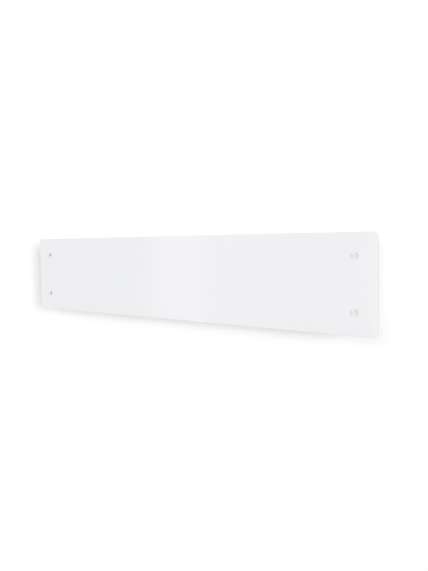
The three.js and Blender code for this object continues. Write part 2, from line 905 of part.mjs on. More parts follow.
function controlHousing() {
  const flange = block(housingEnds, lapped(outletOpening), [innerTopZ - casingSheet, innerTopZ]);
  const inside = ([a, b]) => [
    a + Math.sign(b - a) * housingWall,
    b - Math.sign(b - a) * housingWall,
  ];
  let housing = block(housingEnds, housingSides, [housingBottomZ, bezelTopZ]).add(flange);
  housing = housing.subtract(
    block(inside(housingEnds), inside(housingSides), [housingBottomZ - overrun, bezelUndersideZ])
  );
  const [length, width] = [windowLength, windowWidth].map((size) => size + 2 * keyClearance);
  const pocket = block(
    around(windowX, length),
    around(controlY, width),
    [windowFloorZ, bezelTopZ + overrun]
  );
  const aperture = block(
    around(windowX, windowLength - 2 * windowLedge),
    around(controlY, windowWidth - 2 * windowLedge),
    [bezelUndersideZ - overrun, bezelTopZ + overrun]
  );
  housing = housing.subtract(pocket).subtract(aperture);
  for (const x of keyXs) {
    const hole = prism(
      'z',
      bezelUndersideZ - overrun,
      bezelTopZ + overrun,
      keyOutline(x, keyClearance)
    );
    housing = housing.subtract(hole);
  }
  return housing;
}

function displayWindow() {
  return block(
    around(windowX, windowLength),
    around(controlY, windowWidth),
    [windowFloorZ + seatGap, bezelTopZ]
  );
}

// The display module stands under the window and a switch dome under each key.
function displayBoard() {
  const board = block(housingEnds, housingSides, [displayBoardTopZ - boardThickness, displayBoardTopZ]);
  const module = block(
    around(windowX, windowLength - 2 * windowLedge),
    around(controlY, windowWidth - 2 * windowLedge),
    [displayBoardTopZ - seatGap, bezelUndersideZ - seatGap]
  );
  return keyXs.reduce(
    (whole, x) =>
      whole.add(
        block(
          around(x, tactWidth),
          around(controlY, tactWidth),
          [displayBoardTopZ - seatGap, displayBoardTopZ + tactHeight]
        )
      ),
    board.add(module)
  );
}

function key(x) {
  const flangeTop = bezelUndersideZ - seatGap;
  const flangeBottom = flangeTop - keyFlange;
  const stemEnd = displayBoardTopZ + tactHeight + keyTravel + seatGap;
  const head = prism('z', flangeBottom, bezelTopZ + keyProud, keyOutline(x, 0));
  const flange = prism('z', flangeBottom, flangeTop, keyOutline(x, keyFlangeLip));
  const stem = rod('z', keyStemRadius, stemEnd, flangeTop, [x, controlY], smallSides);
  return head.add(flange).add(stem);
}

// Power board in its carrier, the relay on it, terminal block and air sensor

const carrierEnds = [partitionX + partitionFoot + carrierEndRoom, skirtEndX - carrierEndRoom];
const terminalTopZ = casingBottomZ + terminalBottomRise + terminalHeight;
const powerBoardTopZ = casingTopZ - powerBoardDrop;
const powerBoardBottomZ = terminalTopZ + powerBoardRise;
const powerBoardBackY = casingBackY - powerBoardOut;
const powerBoardFrontY = powerBoardBackY - boardThickness;
const terminalX = gland[0] - glandNutWidth / 2 - terminalWidth / 2 - wireRadius;
const sensorX = partitionX + partitionFoot + terminalWidth / 2;
const sensorY = middleOf(...inletOpening);
const sensorBottomZ = innerBottomZ + casingSheet + seatGap;

function boardCarrier() {
  const base = innerBackY - carrierWall;
  const lip = innerBackY - carrierReach;
  const [insideTop, insideBottom] = [powerBoardTopZ + seatGap, powerBoardBottomZ - seatGap];
  const outline = [
    [innerBackY, insideTop + carrierWall],
    [lip, insideTop + carrierWall],
    [lip, insideTop],
    [base, insideTop],
    [base, insideBottom],
    [lip, insideBottom],
    [lip, insideBottom - carrierWall],
    [innerBackY, insideBottom - carrierWall],
  ];
  return prism('x', ...carrierEnds, outline);
}

function powerBoard() {
  return block(
    carrierEnds,
    [powerBoardBackY, powerBoardFrontY],
    [powerBoardBottomZ, powerBoardTopZ]
  );
}

function powerRelay() {
  const seat = powerBoardFrontY - seatGap;
  return block(
    around(middleOf(...carrierEnds) + relayWidth, relayWidth),
    [seat, seat - relayDepth],
    around(middleOf(powerBoardTopZ, powerBoardBottomZ), relayHeight)
  );
}

function terminalBlock() {
  const front = innerBackY - terminalDepth;
  const bottom = terminalTopZ - terminalHeight;
  let body = block(around(terminalX, terminalWidth), [innerBackY, front], [bottom, terminalTopZ]);
  const pitch = terminalWidth / terminalWays;
  for (let way = 0; way < terminalWays; way += 1) {
    const x = terminalX + (way - (terminalWays - 1) / 2) * pitch;
    const place = [x, middleOf(bottom, terminalTopZ)];
    const well = [front - overrun, front + terminalScrewDepth];
    body = body.subtract(rod('y', terminalScrewRadius, ...well, place, smallSides));
  }
  return body;
}

function airSensor() {
  const flangeTop = sensorBottomZ + sensorFlange;
  const top = sensorBottomZ + sensorHeight;
  const profile = [
    [0, sensorBottomZ],
    [sensorFlangeRadius, sensorBottomZ],
    [sensorFlangeRadius, flangeTop],
    [sensorRadius, flangeTop],
    [sensorRadius, top],
    [0, top],
  ];
  return turned('z', [sensorX, sensorY], profile, smallSides);
}

// Rocker switch in the right end cap

const switchY = casingBackY - switchOut;
const switchZ = casingBottomZ + switchRise;
const switchFrameX = casingHalfWidth + seatGap + switchFrameProud;
const rockerPivotX = casingHalfWidth;
const rockerSweep = Math.hypot(rockerLength / 2, rockerDepth) + seatGap;

function switchOpening() {
  const fitted = (size) => size + 2 * switchPanelFit;
  return prism(
    'x',
    casingHalfWidth - capWall - overrun,
    casingHalfWidth + overrun,
    rectangle(
      around(switchY, fitted(switchBodyWidth)),
      around(switchZ, fitted(switchBodyLength))
    )
  );
}

function switchBody() {
  const seat = casingHalfWidth + seatGap;
  const frame = prism(
    'x',
    seat,
    switchFrameX,
    roundedRectangle(
      around(switchY, switchFrameWidth),
      around(switchZ, switchFrameLength),
      capCornerRadius
    )
  );
  const body = block(
    [seat - switchBodyDepth, switchFrameX],
    around(switchY, switchBodyWidth),
    around(switchZ, switchBodyLength)
  );
  const well = block(
    [rockerPivotX - rockerSweep, switchFrameX + overrun],
    around(switchY, rockerWidth + 2 * rockerSideClearance),
    around(switchZ, 2 * rockerSweep)
  );
  const pinHoles = rod(
    'y',
    rockerPinRadius + seatGap,
    ...around(switchY, rockerWidth + 2 * rockerPinLength + 2 * seatGap),
    [rockerPivotX, switchZ],
    smallSides
  );
  return frame.add(body).subtract(well).subtract(pinHoles);
}

// The rocker is dished between its two ends and rests with its upper end pressed in.
function rocker() {
  const half = rockerLength / 2;
  const outline = [
    [-rockerDepth, -half],
    [rockerPinRadius + rockerProud, -half],
    [rockerPinRadius + rockerDish, 0],
    [rockerPinRadius + rockerProud, half],
    [-rockerDepth, half],
  ];
  const body = prism('y', ...around(0, rockerWidth), outline);
  const pins = rod(
    'y',
    rockerPinRadius,
    ...around(0, rockerWidth + 2 * rockerPinLength),
    [0, 0],
    smallSides
  );
  return body.add(pins);
}

// Cord inlet: a gland through the casing back, held by its nut

function cableGland() {
  const seat = casingBackY + seatGap;
  const flangeEnd = seat + glandFlange;
  const collarEnd = flangeEnd + glandCollar;
  const flange = rod('y', glandFlangeRadius, seat, flangeEnd, gland);
  const collar = rod('y', glandCollarRadius, seat, collarEnd, gland);
  const threadEnd = casingBackY - glandThread;
  const thread = rod('y', glandRadius, threadEnd, flangeEnd, gland);
  const bore = rod('y', glandBoreRadius, threadEnd - overrun, collarEnd + overrun, gland);
  return flange.add(collar).add(thread).subtract(bore);
}

function glandNut() {
  const corners = hexagon(glandNutWidth, gland);
  const bore = circle(glandRadius + glandClearance, gland);
  return prism('y', innerBackY, innerBackY - glandNutThickness, corners, [bore]);
}

// Inner wires, each from one terminal to the next along its real route

const boardFaceY = powerBoardFrontY - seatGap;
const elementPins = [rodEnds[0] - bushEndOffset, rodEnds[1] + bushEndOffset];
const switchBackX = casingHalfWidth + seatGap - switchBodyDepth;
const boardEdgeX = carrierEnds[0];
const floorWireY = innerBackY - wireBend / 2;
const floorWireZ = innerBottomZ + wireBend;
const lowWireZ = powerBoardBottomZ + wireBend;

const wires = {
  supply_wire: () => {
    const start = [terminalX, middleOf(innerBackY, innerBackY - terminalDepth), terminalTopZ + seatGap];
    const end = [switchBackX - seatGap, switchY, switchZ];
    return wire([
      start,
      [start[0], start[1], start[2] + wireBend / 2],
      [start[0] + wireBend, start[1] - wireBend / 2, start[2] + wireBend],
      [end[0] - 2 * wireBend, end[1], end[2]],
      end,
    ]);
  },
  element_wire_right: () => {
    const start = [elementPins[1] + seatGap, ...element];
    const [x, z] = [boardEdgeX + wireBend, lowWireZ];
    return wire([
      start,
      [partitionX + casingSheet, ...element],
      [x, middleOf(element[0], boardFaceY), middleOf(element[1], z)],
      [x, boardFaceY - wireBend / 2, z],
      [x, boardFaceY, z],
    ]);
  },
  element_wire_left: () => {
    const start = [elementPins[0] - seatGap, ...element];
    const [y, z] = [element[0] + wireRadius * 3, element[1] - wireRadius * 3];
    const x = boardEdgeX + 2 * wireBend;
    return wire([
      start,
      [start[0] - wireBend / 3, ...element],
      [start[0] - wireBend, element[0], element[1] - wireBend / 2],
      [start[0] - wireBend, middleOf(element[0], floorWireY), middleOf(element[1], floorWireZ)],
      [start[0], floorWireY, floorWireZ],
      [start[0] + wireBend, floorWireY, floorWireZ],
      [start[0] + 3 * wireBend, floorWireY, floorWireZ],
      [middleOf(...rodEnds), floorWireY, floorWireZ],
      [partitionX - 5 * wireBend, floorWireY, floorWireZ],
      [partitionX - 3 * wireBend, floorWireY, floorWireZ],
      [partitionX - 2 * wireBend, middleOf(y, floorWireY), middleOf(z, floorWireZ)],
      [partitionX - wireBend, y, z],
      [partitionX + wireBend / 2, y, z],
      [x, boardFaceY - wireBend, lowWireZ - wireBend / 2],
      [x, boardFaceY - wireBend / 3, lowWireZ],
      [x, boardFaceY, lowWireZ],
    ]);
  },
  cutout_wire: () => {
    const lugX = cutoutX + (cutoutRadius - casingSheet) / 2;
    const lugTop = cutoutShelfZ + cutoutHeight + cutoutLugWidth + 2 * seatGap;
    const [x, z] = [boardEdgeX + wireBend, powerBoardTopZ - wireBend];
    return wire([
      [lugX, cutoutY, lugTop],
      [lugX, cutoutY, lugTop + wireBend / 3],
      [lugX + wireBend, cutoutY, cutoutWireHole[1] + wireRadius],
      [partitionX + casingSheet, ...cutoutWireHole],
      [x, cutoutWireHole[0], middleOf(cutoutWireHole[1], z)],
      [x, boardFaceY - wireBend / 3, z],
      [x, boardFaceY, z],
    ]);
  },
  sensor_wire: () => {
    const start = [sensorX, sensorY, sensorBottomZ + sensorHeight + seatGap];
    const x = boardEdgeX + 3 * wireBend;
    return wire([
      start,
      [start[0], start[1], start[2] + wireBend],
      [start[0] + wireBend, start[1], middleOf(start[2], lowWireZ)],
      [x, start[1], lowWireZ - wireBend / 2],
      [x, boardFaceY - wireBend / 2, lowWireZ],
      [x, boardFaceY, lowWireZ],
    ]);
  },
};

// The whole heater as a scene

function meshOf(name, manifold, finish) {
  const mesh = manifold.getMesh();
  const geometry = new THREE.BufferGeometry();
  geometry.setAttribute('position', new THREE.BufferAttribute(mesh.vertProperties, mesh.numProp));
  geometry.setIndex(new THREE.BufferAttribute(mesh.triVerts, 1));
  geometry.computeVertexNormals();
  const result = new THREE.Mesh(geometry, new THREE.MeshStandardMaterial(finishes[finish]));
  result.name = name;
  return result;
}

const heater = new THREE.Group();
const add = (name, manifold, finish) => heater.add(meshOf(name, manifold, finish));

add('front_glass', frontGlass(), 'glass');
for (const { name, place } of fixings) {
  add(`fixing_cap_${name}`, fixingCap(place), 'steelCap');
  add(`glass_spacer_${name}`, glassSpacer(place), 'rubber');
  add(`fixing_nut_${name}`, fixingNut(place), 'zincSteel');
}

add('rear_casing', rearCasing(), 'whitePaint');
add('front_plate', frontPlate(), 'whitePaint');
for (const side of sides) {
  add(`end_cap_${sideNames[side]}`, endCap(side), 'whitePlastic');
  capScrewZs.forEach((z, i) =>
    add(`cap_screw_${sideNames[side]}_${heightNames[sides[i]]}`, capScrew(side, z), 'zincSteel')
  );
}
add('outlet_grille', outletGrille(), 'whitePaint');
add('inlet_grille', inletGrille(), 'whitePaint');

add('bracket_rail', bracketRail(), 'zincSteel');
for (const { side, x } of arms) {
  add(`bracket_arm_${sideNames[side]}`, bracketArm(x), 'zincSteel');
  add(`lock_${sideNames[side]}`, lock(x), 'greyPlastic');
  add(`lock_screw_${sideNames[side]}`, lockScrew(x), 'zincSteel');
}

add('element_fins', elementFins(), 'aluminium');
add('element_rod', elementRod(), 'rodSteel');
for (const side of sides) {
  add(`element_bush_${sideNames[side]}`, elementBush(side), 'ceramic');
  add(`element_support_${sideNames[side]}`, elementSupport(side), 'zincSteel');
}
add('partition', partition(), 'zincSteel');
add('cutout_bracket', cutoutBracket(), 'zincSteel');
add('thermal_cutout', thermalCutout(), 'blackPlastic');

add('control_housing', controlHousing(), 'whitePlastic');
add('display_window', displayWindow(), 'darkWindow');
add('display_board', displayBoard(), 'board');
keyNames.forEach((name, i) => add(name, key(keyXs[i]), 'whitePlastic'));

add('board_carrier', boardCarrier(), 'blackPlastic');
add('power_board', powerBoard(), 'board');
add('power_relay', powerRelay(), 'blackPlastic');
add('terminal_block', terminalBlock(), 'greyPlastic');
add('air_sensor', airSensor(), 'blackPlastic');

add('switch_body', switchBody(), 'blackPlastic');
const rockerMesh = meshOf('power_rocker', rocker(), 'blackPlastic');
rockerMesh.position.set(rockerPivotX, switchY, switchZ);
rockerMesh.rotation.y = radians(-rockerTilt);
heater.add(rockerMesh);

add('cable_gland', cableGland(), 'blackPlastic');
add('gland_nut', glandNut(), 'blackPlastic');

const wireFinishes = {
  supply_wire: 'brownWire',
  element_wire_right: 'brownWire',
  element_wire_left: 'blueWire',
  cutout_wire: 'brownWire',
  sensor_wire: 'blackPlastic',
};
for (const [name, make] of Object.entries(wires)) add(name, make(), wireFinishes[name]);

export default heater;
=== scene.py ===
"""Wall-hung electric radiator with a white glass front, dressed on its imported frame."""

import json
import math

import bmesh
import bpy
from bpy.props import FloatProperty, FloatVectorProperty, PointerProperty
from mathutils import Matrix, Vector

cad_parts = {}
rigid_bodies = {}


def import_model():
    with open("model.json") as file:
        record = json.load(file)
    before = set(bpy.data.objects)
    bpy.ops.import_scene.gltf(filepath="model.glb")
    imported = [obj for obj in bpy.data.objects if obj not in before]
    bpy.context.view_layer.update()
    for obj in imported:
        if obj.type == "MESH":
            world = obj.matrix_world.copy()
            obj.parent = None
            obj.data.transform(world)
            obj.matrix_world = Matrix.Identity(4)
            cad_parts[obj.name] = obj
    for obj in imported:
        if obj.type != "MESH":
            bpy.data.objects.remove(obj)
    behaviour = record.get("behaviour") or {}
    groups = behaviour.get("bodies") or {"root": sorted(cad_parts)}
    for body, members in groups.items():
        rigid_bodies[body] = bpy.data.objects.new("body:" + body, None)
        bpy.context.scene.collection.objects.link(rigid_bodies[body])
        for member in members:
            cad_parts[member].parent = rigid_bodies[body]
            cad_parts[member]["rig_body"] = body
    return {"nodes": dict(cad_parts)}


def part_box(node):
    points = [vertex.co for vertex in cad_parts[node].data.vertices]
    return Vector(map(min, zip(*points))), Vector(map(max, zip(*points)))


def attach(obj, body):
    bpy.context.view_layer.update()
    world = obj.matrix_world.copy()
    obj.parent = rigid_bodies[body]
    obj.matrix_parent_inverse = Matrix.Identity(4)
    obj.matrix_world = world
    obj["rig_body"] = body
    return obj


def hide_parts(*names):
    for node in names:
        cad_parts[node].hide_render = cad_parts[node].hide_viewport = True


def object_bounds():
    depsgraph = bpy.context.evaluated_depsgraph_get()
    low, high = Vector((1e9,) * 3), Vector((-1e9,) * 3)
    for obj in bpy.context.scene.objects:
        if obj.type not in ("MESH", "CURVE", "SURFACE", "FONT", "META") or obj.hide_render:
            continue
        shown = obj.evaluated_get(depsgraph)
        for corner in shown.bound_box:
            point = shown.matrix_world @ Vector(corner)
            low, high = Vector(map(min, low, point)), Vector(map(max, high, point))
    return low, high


bl_info = {
    "name": "Electric radiator",
    "version": (1, 0, 0),
    "blender": (4, 5, 0),
    "location": "View3D > Sidebar > Radiator",
    "description": "Builds the finished pieces of a glass-fronted electric radiator",
    "category": "Add Mesh",
}

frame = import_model()
cad_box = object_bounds()

MM = 0.001
SIDES = {"left": -1, "right": 1}
CORNERS = ("left_lower", "left_upper", "right_lower", "right_upper")

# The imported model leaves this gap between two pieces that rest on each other.
SEAT_GAP = 0.3 * MM


def middle(node):
    """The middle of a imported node."""
    low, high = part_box(node)
    return (low + high) / 2


def span(node):
    """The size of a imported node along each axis."""
    low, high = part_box(node)
    return high - low


GLASS = span("front_glass")
CAP = span("fixing_cap_left_lower")


# Settings


def length_setting(name, description, default):
    return FloatProperty(name=name, description=description, default=default, unit="LENGTH")


def colour_setting(name, description, default):
    return FloatVectorProperty(
        name=name, description=description, default=default, size=3, subtype="COLOR"
    )


def angle_setting(name, description, degrees):
    return FloatProperty(
        name=name, description=description, default=math.radians(degrees), subtype="ANGLE"
    )


def strength_setting(name, description, default):
    return FloatProperty(name=name, description=description, default=default, min=0)


def aim_setting(name, *degrees):
    """Where a far light stands, as three angles."""
    return FloatVectorProperty(
        name=name,
        description="Its bearing to the right of the wall's normal, its height and its width",
        default=[math.radians(angle) for angle in degrees],
        size=3,
        unit="ROTATION",
    )


class GlassSettings(bpy.types.PropertyGroup):
    width: length_setting("Width", "Width of the pane", GLASS.x)
    height: length_setting("Height", "Height of the pane", GLASS.z)
    corner_radius: length_setting(
        "Corner radius", "Radius of the four corners of the pane", 8 * MM
    )
    edge_polish: length_setting(
        "Edge polish", "Width of the polished rounding round both faces", 0.7 * MM
    )
    facet_width: length_setting(
        "Facet width", "Width of the shallow ground facet round the front", 6 * MM
    )
    facet_depth: length_setting(
        "Facet depth", "How far the facet falls back at the edge", 0.5 * MM
    )
    colour: colour_setting(
        "Glass white", "Colour of the enamel seen through the glass", (0.834, 0.838, 0.853)
    )


class FixingSettings(bpy.types.PropertyGroup):
    cap_radius: length_setting("Cap radius", "Outer radius of a fixing cap", CAP.x / 2)
    flat_radius: length_setting(
        "Flat radius", "Radius of the flat face inside the cap's bevel", 5 * MM
    )
    groove_pitch: length_setting(
        "Groove pitch", "Distance between the turning grooves on a cap", 0.25 * MM
    )
    colour: colour_setting("Cap steel", "Colour of the satin steel caps", (0.80, 0.80, 0.80))


class CasingSettings(bpy.types.PropertyGroup):
    bend_radius: length_setting(
        "Bend radius", "Outer radius of the bends in the casing sheet", 1.0 * MM
    )
    edge_rounding: length_setting(
        "Edge rounding", "Rounding of the cut edges of sheet and mouldings", 0.25 * MM
    )
    coat_grain: length_setting(
        "Coat grain", "Size of the fine waves in the powder coat", 0.7 * MM
    )
    paint: colour_setting("Casing paint", "Colour of the powder coat", (0.85, 0.85, 0.85))
    plastic: colour_setting(
        "End cap plastic",
        "Colour of the moulded end caps and control housing",
        (0.835, 0.835, 0.838),
    )


class ControlSettings(bpy.types.PropertyGroup):
    mark_length: length_setting("Key mark length", "Length of the bars on the keys", 4.4 * MM)
    mark_width: length_setting("Key mark width", "Width of the bars on the keys", 0.8 * MM)
    mark_height: length_setting(
        "Key mark height", "Height of a mark, partly sunk in its key", 0.15 * MM
    )
    mark_colour: colour_setting(
        "Key mark grey", "Colour of the marks on the keys", (0.10, 0.105, 0.11)
    )
    rocker_colour: colour_setting(
        "Rocker mark grey", "Colour of the marks on the rocker", (0.72, 0.72, 0.72)
    )


class BracketSettings(bpy.types.PropertyGroup):
    edge_rounding: length_setting(
        "Edge rounding", "Rounding of the punched steel edges", 0.2 * MM
    )
    spangle: length_setting("Zinc spangle", "Size of the crystals in the zinc", 4 * MM)
    zinc: colour_setting("Zinc", "Colour of the zinc-plated steel", (0.60, 0.615, 0.63))


class StageSettings(bpy.types.PropertyGroup):
    camera_place: FloatVectorProperty(
        name="Camera place",
        description="Where the camera stands",
        default=(1.1123, -1.2743, 0.0867),
        size=3,
        subtype="TRANSLATION",
        unit="LENGTH",
    )
    camera_yaw: angle_setting(
        "Camera turn", "How far the camera looks to the left of the wall's normal", 39.176
    )
    camera_pitch: angle_setting(
        "Camera drop", "How far the camera looks below the horizon", 3.788
    )
    camera_roll: angle_setting("Camera roll", "Turn of the camera about its view line", -0.687)
    lens: FloatProperty(
        name="Lens", description="Focal length", default=38.93, min=10, unit="CAMERA"
    )
    floor_drop: length_setting(
        "Floor drop", "Height of the radiator's lower edge above the floor", 1.14
    )
    side_strength: strength_setting(
        "Side light", "Strength of the far soft light on the right", 1.7
    )
    side_aim: aim_setting("Side light's place", 61, 5.5, 14)
    front_strength: strength_setting(
        "Front light", "Strength of the far soft light in front", 0.52
    )
    front_aim: aim_setting("Front light's place", 23, 9.5, 23)
    ambient: strength_setting("Room light", "Strength of the even light from all round", 0.55)


# Shaping

# Points nearer than this are one point.
MERGE = 0.001 * MM
# A point this near to a plane lies on it.
ON_PLANE = 0.01 * MM
# Faces that turn by fewer degrees than this lie flat to each other.
FLAT = 0.4
# The least turn in degrees of an edge to round: any edge, one of bent sheet, and a square one.
SHARP, BENT, SQUARE = 40, 50, 60
# Faces shade as one surface up to this turn in degrees: as a rule, with coarse arcs, and on wires.
SMOOTH, SMOOTH_ARCS, SMOOTH_WIRES = 24, 34, 80
# A face this many times larger than the next one keeps a hard edge to it.
UNEVEN = 12

# How far the edges of each kind of part are rounded, and in how many steps.
ROUNDINGS = {
    "spacer": (0.3 * MM, 3),
    "nut": (0.35 * MM, 2),
    "housing": (0.3 * MM, 3),
    "window": (0.15 * MM, 2),
    "board": (0.1 * MM, 1),
    "key": (0.15 * MM, 1),
    "switch": (0.2 * MM, 2),
    "gland nut": (0.4 * MM, 2),
    "fins": (0.3 * MM, 2),
    "rod": (0.4 * MM, 2),
    "ceramic": (0.3 * MM, 2),
    "inner sheet": (0.2 * MM, 1),
    "moulding": (0.3 * MM, 2),
    "terminals": (0.4 * MM, 2),
    "lock": (0.25 * MM, 2),
}


def verts_of(items):
    return [item for item in items if isinstance(item, bmesh.types.BMVert)]


def move(bm, matrix):
    bmesh.ops.transform(bm, matrix=matrix, verts=bm.verts)


def face_outwards(bm):
    bmesh.ops.recalc_face_normals(bm, faces=bm.faces)


def join_flat(bm, degrees):
    """Joins faces that lie flat to each other within an angle."""
    bmesh.ops.dissolve_limit(
        bm, angle_limit=math.radians(degrees), verts=bm.verts, edges=bm.edges
    )


def packed_copy(node):
    """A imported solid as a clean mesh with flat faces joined."""
    bm = bmesh.new()
    bm.from_mesh(frame["nodes"][node].data)
    bmesh.ops.remove_doubles(bm, verts=bm.verts, dist=MERGE)
    join_flat(bm, FLAT)
    return bm


def bevel(bm, parts, width, segments, affect="EDGES"):
    """Rounds edges, or corners with affect set to VERTICES."""
    bmesh.ops.bevel(
        bm,
        geom=list(parts),
        offset=width,
        offset_type="OFFSET",
        affect=affect,
        segments=segments,
        profile=0.5,
        material=-1,
        clamp_overlap=False,
    )


def cut(bm, planes):
    """Cuts the mesh, without parting it, along planes given as a point and a normal."""
    for place, normal in planes:
        bmesh.ops.bisect_plane(
            bm, geom=bm.verts[:] + bm.edges[:] + bm.faces[:], plane_co=place, plane_no=normal
        )


def is_sharp(edge, least=SHARP):
    return len(edge.link_faces) == 2 and edge.calc_face_angle(0) > math.radians(least)


def along(edge, axis):
    """Whether an edge runs along an axis."""
    run = (edge.verts[1].co - edge.verts[0].co).normalized()
    return abs(run[axis]) > 0.999


def near(edge, axis, place, reach=ON_PLANE):
    """Whether both ends of an edge are within reach of a place on an axis."""
    return all(abs(vert.co[axis] - place) < reach for vert in edge.verts)


def stand(bm, centre, axis):
    """Moves a shape that was made round the y axis to its centre, round y or z."""
    lean = Matrix.Rotation(math.pi / 2, 4, "X") if axis == "Z" else Matrix.Identity(4)
    move(bm, Matrix.Translation(centre) @ lean)


def turned(bm, profile, steps, axis="Y", centre=(0, 0, 0)):
    """Spins a profile of (radius, place) points round an axis into a closed solid."""
    points = [bm.verts.new((radius, place, 0)) for radius, place in profile]
    edges = [bm.edges.new(pair) for pair in zip(points, points[1:])]
    bmesh.ops.spin(
        bm,
        geom=points + edges,
        cent=(0, 0, 0),
        axis=(0, 1, 0),
        angle=math.tau,
        steps=steps,
        use_merge=True,
    )
    bmesh.ops.remove_doubles(bm, verts=bm.verts, dist=2 * MERGE)
    bmesh.ops.dissolve_degenerate(bm, dist=MERGE, edges=bm.edges)
    face_outwards(bm)
    stand(bm, centre, axis)


def rounded_block(size, edge, corner, axis, segments, corner_steps, centre=(0, 0, 0)):
    """A block with rounded corners round one axis and softened edges on its two faces."""
    bm = bmesh.new()
    bmesh.ops.create_cube(
        bm, size=1, matrix=Matrix.Translation(centre) @ Matrix.Diagonal((*size, 1))
    )
    bevel(bm, [e for e in bm.edges if along(e, axis)], corner, corner_steps)
    rims = [e for e in bm.edges if is_sharp(e, SQUARE) and not along(e, axis)]
    bevel(bm, rims, edge, segments)
    return bm


def mark_edges(bm, most):
    """Smooth faces, with a hard edge at a sharp turn or where a large face meets a narrow one."""
    for face in bm.faces:
        face.smooth = True
    for edge in bm.edges:
        if len(edge.link_faces) != 2:
            edge.smooth = False
            continue
        turn = edge.calc_face_angle(0)
        small, large = sorted(face.calc_area() for face in edge.link_faces)
        stepped = large > UNEVEN * small and turn > math.radians(1)
        edge.smooth = turn < math.radians(most) and not stepped


def add_piece(bm, name, body, materials, most=SMOOTH):
    """Makes the mesh an object on its body, in its finish."""
    mark_edges(bm, most)
    mesh = bpy.data.meshes.new(name)
    bm.to_mesh(mesh)
    bm.free()
    for material in materials:
        mesh.materials.append(material)
    piece = bpy.data.objects.new(name, mesh)
    bpy.context.scene.collection.objects.link(piece)
    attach(piece, body)
    return piece


def stand_for(node, bm, materials=None, most=SMOOTH):
    """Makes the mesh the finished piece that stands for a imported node, on the node's body."""
    packed = frame["nodes"][node]
    slot = packed.data.materials[0].name.split(".")[0]
    looks = materials or [finish_for(slot)]
    piece = add_piece(bm, f"{node}_finished", packed["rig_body"], looks, most)
    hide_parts(node)
    return piece


def soften(nodes, width, segments=2, least=SHARP, first=None, most=SMOOTH, materials=None):
    """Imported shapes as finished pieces: edges that turn by least degrees or more are rounded."""
    for node in nodes:
        bm = packed_copy(node)
        if first:
            first(bm)
        bevel(bm, [e for e in bm.edges if is_sharp(e, least)], width, segments)
        stand_for(node, bm, materials, most)


# Finishes

# The span that most of a noise's values lie in.
USUAL = (0.3, 0.7)


class Sum:
    """A number in a material; sums written with it add their Math nodes."""

    def __init__(self, finish, socket):
        self.finish = finish
        self.socket = socket

    def math(self, operation, *others):
        return self.finish.math(operation, self, *others)

    def __add__(self, other):
        return self.math("ADD", other)

    def __sub__(self, other):
        return self.math("SUBTRACT", other)

    def __rsub__(self, other):
        return self.finish.math("SUBTRACT", other, self)

    def __mul__(self, other):
        return self.math("MULTIPLY", other)

    def __truediv__(self, other):
        return self.math("DIVIDE", other)

    def __rtruediv__(self, other):
        return self.finish.math("DIVIDE", other, self)

    def __pow__(self, other):
        return self.math("POWER", other)

    def __gt__(self, other):
        return self.math("GREATER_THAN", other)

    def __lt__(self, other):
        return self.math("LESS_THAN", other)

    def __abs__(self):
        return self.math("ABSOLUTE")

    __radd__ = __add__
    __rmul__ = __mul__


def shaded(colour, share):
    """A colour made darker or lighter by a share."""
    return tuple(min(1.0, part * share) for part in colour)


